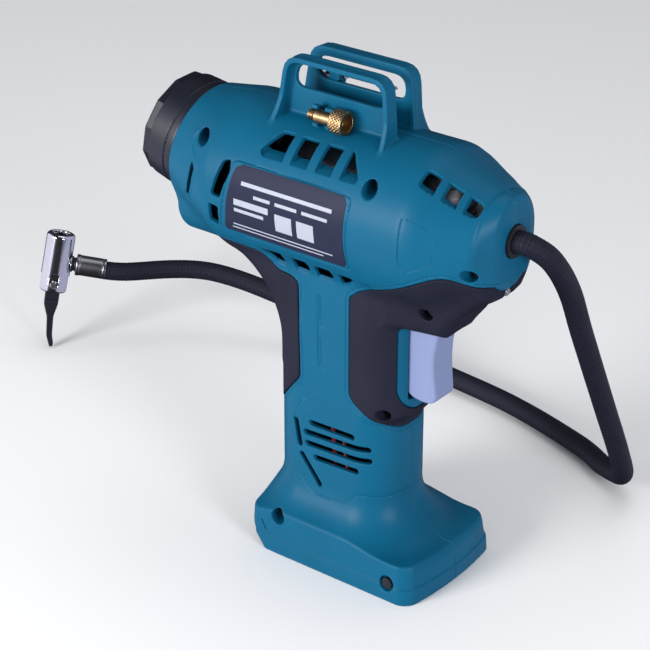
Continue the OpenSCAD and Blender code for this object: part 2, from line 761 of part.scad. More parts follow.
module air_tube() {
  z = head_z + port_h;
  p = [[pump_x + 14.7, 0, z], [fitting_x, 0, z], [fitting_x, 0, hole_z + 7.2]];
  color([0.85, 0.85, 0.8]) difference() {
    run(p, 2);
    run(p, 1.2);
  }
}

module pressure_sensor() {
  color([0.12, 0.12, 0.13]) {
    translate([60, -10.2, hole_z - 3.4]) cube([7, 5.8, 6.8]);
    translate([55.5, -8.7, hole_z - 2.4]) cube([4.6, 3, 4.8]);
  }
}

module hose_collar() {
  color([0.05, 0.05, 0.05]) difference() {
    along_x(71.2, hole_z) cylinder(r = 7.9, h = 9.3, $fn = 48);
    along_x(70, hole_z) cylinder(r = hose_r + 0.1, h = 14, $fn = 48);
  }
}

// The fixed run stops short of a ball that stands for the bend
module hose_fixed() {
  p = concat([hose_start], smooth(run_fixed, 5));
  n = len(p) - 1;
  color([0.07, 0.07, 0.08]) difference() {
    run([for (i = [0 : n]) i == n ? p[n] - 1.6 * dir_at(p, n - 1) : p[i]], hose_r);
    translate(hose_pivot) sphere(r = hose_r + 0.1, $fn = 48);
  }
}

module hose_free() {
  color([0.07, 0.07, 0.08]) {
    strand(concat(smooth(run_free, 4), [hose_end]), hose_r, 18, [0, 0, 1]);
    translate(hose_pivot) sphere(r = hose_r - 0.04, $fn = 48);
  }
}

module hose_ferrule() {
  d = axis_s;
  color([0.6, 0.61, 0.63]) difference() {
    rod(chuck_at + 20 * d, chuck_at + 37 * d, 6.6);
    rod(chuck_at + 19 * d, chuck_at + 38 * d, hose_r + 0.05);
  }
}

// Chuck, drawn in its own frame: +X along the stem, +Z out of the valve bore
module chuck_stem() {
  color([0.1, 0.1, 0.1]) chuck_frame() rotate([0, 90, 0]) {
    translate([0, 0, chuck_r + 0.1]) cylinder(r = 4.2, h = 19 - chuck_r - 0.2, $fn = 40);
    translate([0, 0, chuck_r + 4]) cylinder(r = 5, h = 3, $fn = 6);
  }
}

module chuck_body() {
  color([0.85, 0.86, 0.88]) chuck_frame() difference() {
    translate([0, 0, -chuck_h / 2]) cylinder(r = chuck_r, h = chuck_h, $fn = 64);
    translate([0, 0, 4]) cylinder(r = valve_r, h = 20, $fn = 48);
    translate([0, 0, -2]) cylinder(r = 3, h = 8, $fn = 32);
    translate([0, -chuck_r - 1, 6]) rotate([-90, 0, 0]) cylinder(r = 3.2, h = 3, $fn = 32);
    translate([-10, -2.7, -20]) cube([20, 5.4, 12.2]);
    translate([0, -10, pin_z]) rotate([-90, 0, 0]) cylinder(r = 1.55, h = 20, $fn = 32);
  }
}

module chuck_seal() {
  color([0.05, 0.05, 0.05]) chuck_frame() translate([0, 0, 0.2]) difference() {
    cylinder(r = 2.95, h = 3.7, $fn = 40);
    translate([0, 0, -1]) cylinder(r = 1.5, h = 8, $fn = 32);
  }
}

module valve_depressor() {
  color([0.8, 0.66, 0.35]) chuck_frame() translate([0, 0, -1.9]) {
    cylinder(r = 1, h = 5.4, $fn = 24);
    cylinder(r = 1.4, h = 1.4, $fn = 24);
  }
}

module lever_pin() {
  color([0.7, 0.7, 0.72]) chuck_frame() translate([0, -chuck_r, pin_z]) rotate([-90, 0, 0])
    cylinder(r = 1.5, h = 2 * chuck_r, $fn = 32);
}

module chuck_lever() {
  color([0.07, 0.07, 0.08]) chuck_frame() difference() {
    union() {
      side_plate(-2.5, 2.5) polygon([[-2.9, pin_z - 1], [2.9, pin_z - 1], [4.2, -20], [4.4, -26], [2.8, -34],
        [3.6, -46], [5.4, -52.6], [2.6, -53.2], [0.2, -46], [-1.2, -34], [-4, -26], [-4.2, -20]]);
      across_y(0, pin_z, -2.5, 2.5, 3.2);
    }
    across_y(0, pin_z, -4, 4, 1.55);
  }
}

// Spare nozzles in their clips
module brass_adapter() {
  a = adapter_at;
  color([0.8, 0.62, 0.3]) translate([0, a[1], 0]) difference() {
    union() {
      along_x(a[0], a[2]) cylinder(r = 2.7, h = 4, $fn = 32);
      along_x(a[0] + 4, a[2]) cylinder(r = 3.5, h = 12, $fn = 32);
      along_x(a[0] + 14.6, a[2]) cylinder(r = 5.9, h = 7.2, $fn = 48);
    }
    along_x(a[0] - 1, a[2]) cylinder(r = 1.5, h = 40, $fn = 24);
    along_x(a[0] + 16.5, a[2]) cylinder(r = 3.9, h = 14, $fn = 32);
  }
}

module ball_needle() {
  a = needle_at;
  color([0.75, 0.76, 0.78]) translate([0, a[1], 0]) {
    along_x(a[0] - 2, a[2]) cylinder(r = 3.8, h = 5, $fn = 32);
    along_x(a[0] + 3, a[2]) cylinder(r = 2.1, h = 10, $fn = 32);
    along_x(a[0] + 13, a[2]) cylinder(r = 1, h = 28, $fn = 24);
    along_x(a[0] + 41, a[2]) cylinder(r1 = 1, r2 = 0.4, h = 1.5, $fn = 24);
  }
}

module cone_adapter() {
  a = cone_at;
  color([0.07, 0.07, 0.08]) translate([0, a[1], 0]) {
    along_x(a[0] - 1, a[2]) cylinder(r = 4, h = 11, $fn = 32);
    along_x(a[0] + 10, a[2]) cylinder(r1 = 4.8, r2 = 1.6, h = 20, $fn = 32);
  }
}

housing_right();
housing_left();
pad_front_right();
pad_front_left();
pad_rear_right();
pad_rear_left();
rear_bezel();
display_lens();
display_board();
housing_screws();
rating_label();
led_lens();
led_board();
trigger_switch();
control_board();
terminal_block();
terminal_blades();
wiring();
motor_can();
motor_endbell();
pump_frame();
crank_bearing();
pump_cylinder();
cylinder_head();
head_cap();
head_screws();
outlet_fitting();
air_tube();
pressure_sensor();
hose_collar();
hose_fixed();
trigger();
switch_plunger();
trigger_spring();
button_power();
button_mode();
button_plus();
button_minus();
armature();
pinion();
motor_fan();
crank_gear();
crank_shaft();
connecting_rod();
piston();
piston_seal();
check_valve();
valve_spring();
hose_free();
hose_ferrule();
chuck_stem();
chuck_body();
chuck_seal();
valve_depressor();
lever_pin();
chuck_lever();
brass_adapter();
ball_needle();
cone_adapter();
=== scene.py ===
"""The looks of the portable tire inflator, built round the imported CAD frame.

Shapes are written as distance functions in millimetres, meshed and then scaled to metres.
"""

import json
import math
from functools import partial

import bpy
import numpy as np
from mathutils import Matrix, Vector

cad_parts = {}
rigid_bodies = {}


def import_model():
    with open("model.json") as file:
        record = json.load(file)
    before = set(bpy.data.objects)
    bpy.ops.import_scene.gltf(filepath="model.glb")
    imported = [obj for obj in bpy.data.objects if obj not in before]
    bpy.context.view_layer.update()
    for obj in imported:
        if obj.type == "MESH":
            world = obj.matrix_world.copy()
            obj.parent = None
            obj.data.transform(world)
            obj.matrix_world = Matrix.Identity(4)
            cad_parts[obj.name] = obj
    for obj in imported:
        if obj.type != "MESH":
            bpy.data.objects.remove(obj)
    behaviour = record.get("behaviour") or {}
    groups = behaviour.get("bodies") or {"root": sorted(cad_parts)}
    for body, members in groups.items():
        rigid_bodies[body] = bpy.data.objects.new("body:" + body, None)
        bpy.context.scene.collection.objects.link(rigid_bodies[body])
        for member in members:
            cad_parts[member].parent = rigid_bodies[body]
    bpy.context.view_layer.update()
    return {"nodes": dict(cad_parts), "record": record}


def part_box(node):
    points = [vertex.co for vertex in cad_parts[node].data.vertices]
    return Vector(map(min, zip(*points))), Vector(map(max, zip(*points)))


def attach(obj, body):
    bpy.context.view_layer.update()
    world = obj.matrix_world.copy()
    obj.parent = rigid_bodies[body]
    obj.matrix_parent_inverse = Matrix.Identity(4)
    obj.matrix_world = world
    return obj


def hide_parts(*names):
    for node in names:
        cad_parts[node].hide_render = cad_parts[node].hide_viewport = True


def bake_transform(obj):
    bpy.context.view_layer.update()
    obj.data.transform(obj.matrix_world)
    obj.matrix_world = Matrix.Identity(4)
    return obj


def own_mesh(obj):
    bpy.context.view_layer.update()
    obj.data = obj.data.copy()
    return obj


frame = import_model()

MM = 0.001
# Distance given to whatever is far from a shape, and how near still counts as close to it
FAR = 50.0
REACH = 7.0
# Grid steps: the housing, and the soft pads
FINE = 0.62
PAD_STEP = 0.6
WALL = 2.6


def box_mm(node):
    """The low and high corners of a CAD node, in millimetres."""
    return [np.array(box_corner) / MM for box_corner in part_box(node)]


def middle(node):
    lo, hi = box_mm(node)
    return (lo + hi) / 2


# The barrel's axis and radius, its nose, the hose's hole and the work light
BARREL_Z = float(middle("rating_label")[2])
BARREL_R = -float(box_mm("housing_right")[0][1])
NOSE_X = 73.0
FACE_X = float(box_mm("housing_right")[1][0])
HOLE_Z = float(middle("hose_collar")[2])
LED_Z = float(middle("led_lens")[2])

# The tilted rear panel: a point on it (x, z), its outward direction and its upward direction
PANEL_AT = (-103.4, 198.7)
PANEL_TILT = math.radians(12.4)
PANEL_N = (-math.cos(PANEL_TILT), math.sin(PANEL_TILT))
PANEL_UP = (math.sin(PANEL_TILT), math.cos(PANEL_TILT))

# Screw pockets: x, z, the pocket floor's distance from the middle plane, radius
SCREWS = [(-80, 214.5, 22, 3.8), (20.6, 214.4, 22, 4), (71.0, 182.8, 15, 3.3),
          (-33.5, 20.4, 27, 4), (36, 9.4, 33.4, 4)]
PAD_SCREWS = [(44.2, 153.0, 12, 3.4), (20.5, 91.0, 9, 3.2)]
LINING = 0.7

CAMERA_AT = (563.6, -760.3, 608.5)
CAMERA_RIGHT = (0.788, 0.6154, 0)
CAMERA_BACK = (0.5483, -0.7022, 0.4541)
CAMERA_LENS = 120.7


# ---------------------------------------------------------------- distance functions
def smin(a, b, k):
    h = np.maximum(k - np.abs(a - b), 0) / k
    return np.minimum(a, b) - h * h * k / 4


def smax(a, b, k):
    return -smin(-a, -b, k)


def ease(v, a, b):
    t = np.clip((v - a) / (b - a), 0, 1)
    return t * t * (3 - 2 * t)


def corner(a, b, r):
    """Two distances met in a rounded outer corner of radius r."""
    u, v = a + r, b + r
    inside = np.minimum(np.maximum(u, v), 0)
    return np.hypot(np.maximum(u, 0), np.maximum(v, 0)) + inside - r


def fillet(a, b, r):
    """Two distances joined with a round fillet of radius r."""
    return np.maximum(r, np.minimum(a, b)) - np.hypot(np.maximum(r - a, 0), np.maximum(r - b, 0))


def round_box(u, v, u0, u1, v0, v1, r):
    across = np.abs(u - (u0 + u1) / 2) - (u1 - u0) / 2
    along = np.abs(v - (v0 + v1) / 2) - (v1 - v0) / 2
    return corner(across, along, r)


def polygon(u, v, points):
    """Signed distance to a closed outline."""
    best = np.full(u.shape, 1e9, np.float32)
    inside = np.zeros(u.shape, bool)
    for (ax, ay), (bx, by) in zip(points, points[1:] + points[:1]):
        ex, ey = bx - ax, by - ay
        wx, wy = u - ax, v - ay
        t = np.clip((wx * ex + wy * ey) / (ex * ex + ey * ey), 0, 1)
        best = np.minimum(best, (wx - t * ex) ** 2 + (wy - t * ey) ** 2)
        if ay != by:
            crosses = (v >= min(ay, by)) & (v < max(ay, by))
            inside ^= crosses & (u < ax + (v - ay) * ex / ey)
    return np.where(inside, -1, 1) * np.sqrt(best)


def capsule(u, v, a, b, r):
    ex, ey = b[0] - a[0], b[1] - a[1]
    t = np.clip(((u - a[0]) * ex + (v - a[1]) * ey) / (ex * ex + ey * ey), 0, 1)
    return np.hypot(u - a[0] - t * ex, v - a[1] - t * ey) - r


def rounded(points, r, n=4):
    """The outline with each corner rounded by about r."""
    out = []
    count = len(points)
    for i in range(count):
        p, a, b = (np.array(points[(i + k) % count], float) for k in (0, -1, 1))
        la, lb = np.linalg.norm(a - p), np.linalg.norm(b - p)
        ra, rb = min(r, la * 0.45), min(r, lb * 0.45)
        start, end = p + (a - p) / la * ra, p + (b - p) / lb * rb
        for k in range(n + 1):
            t = k / n
            q = (1 - t) ** 2 * start + 2 * t * (1 - t) * p + t * t * end
            out.append((float(q[0]), float(q[1])))
    return out


def local(x, y, z, lo, hi, shape):
    """shape(x, y, z) near the box from lo to hi, and a far distance elsewhere."""
    near = ((x > lo[0] - REACH) & (x < hi[0] + REACH) & (y > lo[1] - REACH)
            & (y < hi[1] + REACH) & (z > lo[2] - REACH) & (z < hi[2] + REACH))
    out = np.full(x.shape, FAR, np.float32)
    if near.any():
        out[near] = shape(x[near], y[near], z[near])
    return out


# ---------------------------------------------------------------- meshing
def in_chunks(f, p, size=400000):
    parts = [f(*(p[i:i + size].T.astype(np.float32))) for i in range(0, len(p), size)]
    return np.concatenate(parts) if parts else np.zeros(0, np.float32)


def sample(f, lo, shape, step, block=8):
    """f on a grid, worked out finely only in the blocks that its surface may cross."""
    blocks = [-(-n // block) for n in shape]
    index = np.indices(blocks).reshape(3, -1).T
    centre = in_chunks(f, lo + (index * block + (block - 1) / 2) * step)
    coarse = centre.reshape(blocks).astype(np.float32)
    grid = np.repeat(np.repeat(np.repeat(coarse, block, 0), block, 1), block, 2)
    live = index[np.abs(centre) < block * step * 0.87 * 1.35 + step]
    offset = np.indices((block,) * 3).reshape(3, -1).T
    for i in range(0, len(live), 800):
        cell = (live[i:i + 800, None, :] * block + offset[None]).reshape(-1, 3)
        grid[cell[:, 0], cell[:, 1], cell[:, 2]] = f(*((lo + cell * step).T.astype(np.float32)))
    return grid


def gradient(f, p, e=0.12):
    g = np.zeros(p.shape)
    for k in ((1, 1, 1), (1, -1, -1), (-1, 1, -1), (-1, -1, 1)):
        k = np.array(k, float)
        g += in_chunks(f, p + k * e)[:, None] * k
    return g / (4 * e)


def surface(f, lo, hi, step):
    """Vertices, quads and normals of f = 0, with every vertex moved onto the surface."""
    lo = np.array(lo, float)
    shape = [int(math.ceil((b - a) / step)) + 2 for a, b in zip(lo, hi)]
    g = sample(f, lo, shape, step)
    neg = g < 0
    nx, ny, nz = (n - 1 for n in g.shape)
    corners = [(i, j, k) for i in (0, 1) for j in (0, 1) for k in (0, 1)]
    count = sum(neg[i:i + nx, j:j + ny, k:k + nz].astype(np.int8) for i, j, k in corners)
    cells = np.argwhere((count > 0) & (count < 8))
    ids = np.full((nx, ny, nz), -1, np.int32)
    ids[tuple(cells.T)] = np.arange(len(cells))
    total, hits = np.zeros((len(cells), 3)), np.zeros(len(cells))
    for a in corners:
        for axis in range(3):
            if a[axis]:
                continue
            b = tuple(a[i] + (i == axis) for i in range(3))
            va = g[tuple((cells + a).T)]
            vb = g[tuple((cells + b).T)]
            crossed = (va < 0) != (vb < 0)
            t = va / np.where(crossed, va - vb, 1)
            spot = np.tile(np.array(a, float), (len(cells), 1))
            spot[:, axis] += t
            total += spot * crossed[:, None]
            hits += crossed
    points = lo + (cells + total / hits[:, None]) * step
    for _ in range(2):
        n = gradient(f, points)
        size = np.maximum((n * n).sum(1), 0.04)
        move = -n * (in_chunks(f, points) / size)[:, None]
        length = np.linalg.norm(move, axis=1, keepdims=True)
        points += move * np.minimum(1, step * 0.5 / np.maximum(length, 1e-9))
    normal = gradient(f, points)
    normal /= np.maximum(np.linalg.norm(normal, axis=1, keepdims=True), 1e-9)
    quads = []
    for axis in range(3):
        o1, o2 = [(1, 2), (2, 0), (0, 1)][axis]
        s = [slice(1, None)] * 3
        s[axis] = slice(0, None)
        first = neg[tuple(slice(0, -1) if i == axis else slice(1, -1) for i in range(3))]
        second = neg[tuple(slice(1, None) if i == axis else slice(1, -1) for i in range(3))]
        edge = np.argwhere(first != second)
        start = edge + [0 if i == axis else 1 for i in range(3)]
        u, v = np.eye(3, dtype=int)[o1], np.eye(3, dtype=int)[o2]
        around = [start - u - v, start - v, start, start - u]
        q = np.stack([ids[tuple(c.T)] for c in around], 1)
        flip = ~first[tuple(edge.T)]
        q[flip] = q[flip][:, ::-1]
        quads.append(q)
    quads = np.concatenate(quads)
    return points, quads[(quads >= 0).all(1)], normal


def mesh_object(name, points, faces, normal=None):
    mesh = bpy.data.meshes.new(name)
    faces = np.asarray(faces, np.int32)
    mesh.vertices.add(len(points))
    mesh.vertices.foreach_set("co", (np.asarray(points) * MM).astype(np.float32).ravel())
    width = faces.shape[1]
    mesh.loops.add(faces.size)
    mesh.loops.foreach_set("vertex_index", faces.ravel())
    mesh.polygons.add(len(faces))
    mesh.polygons.foreach_set("loop_start", np.arange(0, faces.size, width, dtype=np.int32))
    mesh.polygons.foreach_set("loop_total", np.full(len(faces), width, np.int32))
    mesh.update(calc_edges=True)
    mesh.validate()
    mesh.polygons.foreach_set("use_smooth", np.ones(len(mesh.polygons), bool))
    if normal is not None and len(mesh.vertices) == len(normal):
        mesh.normals_split_custom_set_from_vertices(normal.astype(np.float32))
    obj = bpy.data.objects.new(name, mesh)
    bpy.context.scene.collection.objects.link(obj)
    return obj


def sculpt(name, f, lo, hi, step, place=None, mirror=False):
    """A mesh of f = 0; place is a 4x4 in millimetres from f's own frame, mirror flips y."""
    points, quads, normal = surface(f, lo, hi, step)
    if mirror:
        points[:, 1] *= -1
        normal[:, 1] *= -1
        quads = quads[:, ::-1]
    if place is not None:
        points = points @ place[:3, :3].T + place[:3, 3]
        normal = normal @ place[:3, :3].T
    return mesh_object(name, points, quads, normal)


# ---------------------------------------------------------------- the housing's skin
def barrel_skin(x, y, z):
    ahead = -75 - x
    depth = -((x - PANEL_AT[0]) * PANEL_N[0] + (z - PANEL_AT[1]) * PANEL_N[1])
    t = np.clip(ahead / np.maximum(ahead + depth, 5), -1, 1.3)
    back = np.clip(t, 0, 1.3)
    front = np.clip((x - NOSE_X) / 6.5, 0, 1)
    middle = BARREL_Z + 7.2 * back + 0.8 * front
    high = np.maximum(np.abs(z - middle) - 9.5 * front, 0) * (1 + 0.023 * np.minimum(back, 1))
    cone = BARREL_R - 0.472 * (x - 44)
    tip = 26 - 1.9 * (x - NOSE_X)
    radius = smin(smin(smin(BARREL_R + 0 * x, cone, 2.5), tip, 2.0), BARREL_R - 9.7 * t, 1.0)
    slope = 0.472 * ease(x, 42, 46) + 1.43 * ease(x, 71.5, 74.5) + 0.3 * ease(t, 0, 0.1)
    d = (np.hypot(y, high) - radius) / np.sqrt(1 + slope * slope)
    return smax(smax(d, -depth, 1.0), x - FACE_X, 1.4)


SLAB_Z = [0, 8.3, 8.9, 20, 40]


def grip_skin(x, y, z):
    grip = round_box(x, y, -48.5, 24.5 + 5 * ease(z, 83, 91), -23, 23, 20)
    body = fillet(grip, z - 20.5, 23)
    width = np.interp(z, SLAB_Z, [37, 36.6, 35.9, 34.8, 34]).astype(np.float32)
    bow = np.interp(z, [0, 17, 30], [3.5, 5.2, 1]).astype(np.float32) * (1 - (y / 37) ** 2)
    front = np.interp(z, SLAB_Z, [49, 48.4, 47.7, 45.8, 44]).astype(np.float32) + bow
    slab = round_box(x, y, -52 + 0 * x, front, -width, width, 7)
    slab = smax(slab, -0.773 * (x + 40.5) - 0.635 * z, 1.2)
    body = smax(body, slab, 1.4)
    return smax(smax(body, -z, 0.8), z - 170, 1)


CHIN = [(20, 139.6), (50.5, 139.6), (52.6, 143), (57.4, 149.4), (60, 153.6), (70.6, 163.2),
        (74.6, 167.4), (74.6, 178), (44, 195), (20, 195)]


def chin_skin(x, y, z):
    width = 23.0 - 0.2 * (x - 20) + 0.25 * (z - 150)
    return corner(polygon(x, z, CHIN), (np.abs(y) - width) * 0.95, 5.0)


def sweep_skin(x, y, z):
    """The long hollow curve behind the grip that carries the rear pad."""
    arc = 41.9 - np.hypot(np.maximum(x + 90.4, 0), np.maximum(z - 109.8, 0))
    side = np.maximum(np.abs(y) - 23, np.maximum(x + 24, 95 - z))
    return corner(arc, side, 19.5)


def skin(x, y, z):
    barrel = barrel_skin(x, y, z)
    grip = grip_skin(x, y, z)
    ahead = -((x - PANEL_AT[0]) * PANEL_N[0] + (z - PANEL_AT[1]) * PANEL_N[1])
    end = smax(3.0 - ahead, -105.5 - x, 2.0)
    sweep = smax(local(x, y, z, (-110, 0, 95), (-24, 24, 200), sweep_skin), end, 1.5)
    d = fillet(smin(grip, sweep, 1.0), barrel, 4.5)
    chin = local(x, y, z, (20, 0, 139), (76, 24, 195), chin_skin)
    return smin(d, chin, 5.0)


# ---------------------------------------------------------------- loops and clips
LOOP = rounded([(-50.5, 220), (-43.2, 259.6), (15.4, 259.6), (18, 220)], 8)
LOOP_IN = rounded([(-47.6, 220), (-41.2, 257.1), (13.1, 257.1), (15.4, 220)], 6.4)
LOOP_SLOT = rounded([(-41.2, 243.6), (-39.0, 255.2), (11.2, 255.2), (12.2, 243.6)], 6)


def loop_shape(x, y, z):
    outer = polygon(x, z, LOOP)
    reach = 13.9 + 5.4 * np.clip((240 - z) / 14, 0, 1.3) ** 1.4
    rim = smax(outer, -polygon(x, z, LOOP_IN), 0.5)
    rim = corner(rim, np.maximum(y - reach, 6.5 - y), 0.55)
    web = np.maximum(outer, -polygon(x, z, LOOP_SLOT))
    web = corner(web, np.maximum(y - 9.0, 6.5 - y), 0.5)
    return smin(rim, web, 1.0)


def clip_shape(x, y, z, x0, x1, yc, zc, r, open_at):
    """A C-shaped clip round a rod along x, held on the loop's web at y = 9."""
    ring = np.abs(np.hypot(y - yc, z - zc) - r - 0.9) - 0.9
    ring = np.maximum(ring, y - open_at)
    foot = np.maximum(np.abs(z - zc) - r * 0.75, np.maximum(y - yc + r * 0.6, 8.0 - y))
    foot = np.maximum(foot, r - np.hypot(y - yc, z - zc))
    return corner(smin(ring, foot, 0.6), np.maximum(x0 - x, x - x1), 0.4)


def loops(x, y, z, right):
    d = local(x, y, z, (-51, 6, 220), (19, 21, 260), loop_shape)
    spots = [(-25.2, -22.2, 15.2, 234.6, 3.6, 16.2), (-17.6, -12.8, 15.2, 234.6, 3.6, 16.2)]
    if not right:
        spots = [(-34, -28, 13.2, 245.4, 2.2, 14.0), (-38, -31, 14.4, 235.6, 4.1, 15.6)]
    for x0, x1, yc, zc, r, end in spots:
        lo, hi = (x0, yc - r - 2, zc - r - 2), (x1, yc + r + 2, zc + r + 2)
        clip = partial(clip_shape, x0=x0, x1=x1, yc=yc, zc=zc, r=r, open_at=end)
        d = np.minimum(d, local(x, y, z, lo, hi, clip))
    return d


# ---------------------------------------------------------------- cuts in the housing
# Outlines below are (x, arc from the barrel's top) or, on the grip and pads, (x, z)
TOP_VENT = rounded([(-38, 22.2), (3.8, 21.9), (13, 35.2), (11.6, 37.5), (-42.5, 37.5), (-45, 34.8)], 1.5)
TOP_RIBS = [(-30.6, -26.0), (-16.2, -11.4), (-2.0, 2.9)]
NOSE_VENT = rounded([(43.6, 19.6), (69.8, 21.4), (71.8, 24.2), (71.2, 32.2), (68.6, 34.0), (44.6, 30.0),
                     (43.0, 27.4)], 1.6)
NOSE_RIBS = [(50.9, 54.4), (61.5, 64.8)]
SIDE_PANEL = rounded([(41.6, 45.8), (46.3, 46.0), (54, 48.4), (56.3, 51.5), (56.6, 67.6),
                      (44.4, 73.2), (41.8, 69)], 1.2)
SLOTS_LEFT = [rounded([(-63.5, 44.7), (-59.1, 43.1), (-58.4, 49.3), (-60.9, 56.3), (-63.2, 63.5),
                       (-68.9, 62.9), (-66.2, 53.4)], 1.6),
              rounded([(-70.4, 68.1), (-64.8, 68.8), (-66.0, 76), (-68.1, 82), (-72.3, 79.6),
                       (-71.4, 73.5)], 1.0)]
RING_SLOT = rounded([(-83.7, 50.1), (-81.7, 53.2), (-84.0, 62), (-88.1, 71.8), (-90.1, 71.8),
                     (-86.2, 60.6)], 0.8)
RIDGE = [(-85.4, 33.6), (-87.2, 38.1), (-86.5, 42.3), (-82.8, 46.8), (-79.2, 51.9), (-81.4, 59.5),
         (-89.6, 79)]
LOW_VENTS = [rounded(outline, 0.8) for outline in (
    [(-47.5, 90.6), (-33.5, 90), (-34.4, 95.1), (-35.2, 101.8), (-40.7, 101.2), (-45.4, 97.6)],
    [(-27.2, 90.3), (-18.4, 90.1), (-18.7, 94), (-21.0, 101.8), (-28.8, 101.5), (-29.4, 97.8)],
    [(-13.2, 91.0), (-4.2, 90.7), (-5.4, 97), (-6.6, 101.8), (-16.1, 101.8), (-15.8, 97.4)],
    [(0.8, 91.4), (7.0, 91.6), (9.6, 93.6), (2.3, 101.0), (-0.8, 102.1), (-1.8, 99.6)])]
LABEL = rounded([(-56.6, 43.6), (11.9, 44.4), (11.0, 81.8), (-65.0, 82.2), (-60.6, 66.4)], 2.4)
GRIP_SLOTS = [((-20.6, 74.4), (4.4, 75.0)), ((-24.1, 68.2), (12.8, 69.8)), ((-23.2, 62.1), (13.3, 63.4)),
              ((-17.8, 55.5), (6.8, 56.4)), ((-30.5, 72.7), (-28.1, 60.4)), ((-26.7, 54.5), (-15.8, 41.1))]
GRIP_LINES = [[(-16.8, 146), (-16.2, 111), (-15.6, 107.7)],
              [(-15.0, 146), (-15.0, 132.4), (-13.9, 130.6), (-11.5, 130)],
              [(-14.8, 122.8), (-14.8, 110.7), (-13.5, 108.4), (-11.5, 107.9)]]
SEAMS = [[(-50, 45), (-36.5, 46.1), (-30.1, 44.5), (-27.4, 42), (-23.8, 38.3), (-18.7, 35.9), (-10.9, 35.4),
          (1.3, 36.8), (4, 39.3), (7.2, 43.2), (11.9, 43.7), (19.9, 43.4), (30, 45.4)],
         [(-20, 92), (-24, 88.1), (-27.6, 84), (-29.8, 79.8), (-31.2, 72.4)]]
PAD_FRONT = rounded([(2.5, 98.6), (2.5, 151.2), (9.8, 156.6), (32, 166.7), (46, 174.3), (55, 178.7),
                     (59.6, 180.1), (64, 179.8), (69, 177.7), (74, 176.0), (82, 174.0), (90, 150),
                     (60, 76), (25, 80.6), (12, 90.4), (5, 94.6)], 2.6)
PAD_REAR = rounded([(-27.8, 98.2), (-28.6, 149.8), (-32.6, 152.0), (-41, 152.8), (-46.4, 157.6),
                    (-50.4, 161.3), (-78, 161.7), (-80, 150), (-92, 110), (-70, 60), (-61, 60),
                    (-38, 86.2)], 2.4)


def pocket(depth, outline, floor):
    """What is cut where outline is inside and the skin is no deeper than floor."""
    return np.maximum(outline, -(depth + floor))


def strip_shape(x, y, z):
    """The bare strip of housing round the trigger."""
    return np.maximum(round_box(y, z, -15, 15, 92, 139.4, 13.5), 20 - x) + 0 * y


def side_view(x, y, z, points):
    """An outline in x and z that runs straight through y."""
    return polygon(x, z, points)


def pad_outline(x, y, z, which):
    if which == "front":
        d = local(x, y, z, (2, 0, 76), (86, 37, 182), partial(side_view, points=PAD_FRONT))
        top = np.maximum(np.maximum(np.abs(y) - 15, 20 - x), np.abs(z - 126) - 12.4)
        return np.maximum(d, -np.minimum(strip_shape(x, y, z), top))
    return local(x, y, z, (-92, 0, 60), (-28, 26, 162), partial(side_view, points=PAD_REAR))


def louvres(x, arc, depth):
    """What the sloping vents cut away, and the shelves that their lower sides stand on."""
    nose_edge = 29.8 + 0.165 * (x - 45)
    rows = ((TOP_VENT, TOP_RIBS, 37.5 + 0 * x, 6.2, 0.7), (NOSE_VENT, NOSE_RIBS, nose_edge, 3.2, 1.0))
    cut = np.full(x.shape, FAR, np.float32)
    shelf = cut.copy()
    for outline, ribs, edge, sill, drop in rows:
        hole = frame_edge = polygon(x, arc, outline)
        for a, b in ribs:
            hole = np.maximum(hole, -np.maximum(a - x, x - b))
        below = arc - (edge - sill)
        floor = 0.4 + drop * np.clip(edge - arc, 0, sill + 1)
        through = np.maximum(np.maximum(hole, below), -(depth + 9))
        cut = np.minimum(cut, np.minimum(through, np.maximum(hole, -(depth + floor))))
        stand = np.maximum(frame_edge - 1.2, np.maximum(depth + 0.4, -(depth + floor + 1.3)))
        shelf = np.minimum(shelf, np.maximum(stand, -0.4 - below))
    return cut, shelf


def barrel_cuts(x, arc, depth, right):
    """Openings and hollows of the barrel, laid out in x and the arc from its top."""
    d = np.full(x.shape, FAR, np.float32)
    for outline in SLOTS_LEFT + [RING_SLOT] + LOW_VENTS:
        d = np.minimum(d, np.maximum(polygon(x, arc, outline), -(depth + 6)))
    d = np.minimum(d, pocket(depth, polygon(x, arc, SIDE_PANEL), 0.5))
    if right:
        label = polygon(x, arc, LABEL)
        d = np.minimum(d, pocket(depth, np.abs(label - 1.0) - 0.28, 0.4))
    return d


def trace(u, v, points, r):
    d = capsule(u, v, points[0], points[1], r)
    for a, b in zip(points[1:], points[2:]):
        d = np.minimum(d, capsule(u, v, a, b, r))
    return d


def grip_cuts(x, y, z):
    """The grip's slots, and the fine lines drawn in its skin."""
    depth = skin(x, y, z)
    d = np.full(x.shape, FAR, np.float32)
    for a, b in GRIP_SLOTS:
        d = np.minimum(d, capsule(x, z, a, b, 1.55))
    d = np.maximum(d, -(depth + 6))
    for line in GRIP_LINES:
        d = np.minimum(d, pocket(depth, trace(x, z, line, 0.3), 0.35))
    for line in SEAMS:
        d = np.minimum(d, pocket(depth, trace(x, z, line, 0.2), 0.2))
    return d


# Steps of the battery bay: x from and to, z from and to, half width
BATTERY_BAY = [(-60, 40, -1, 3, 26), (-60, 40, 2.5, 12, 30.5), (-29, 9, 11, 40, 17)]


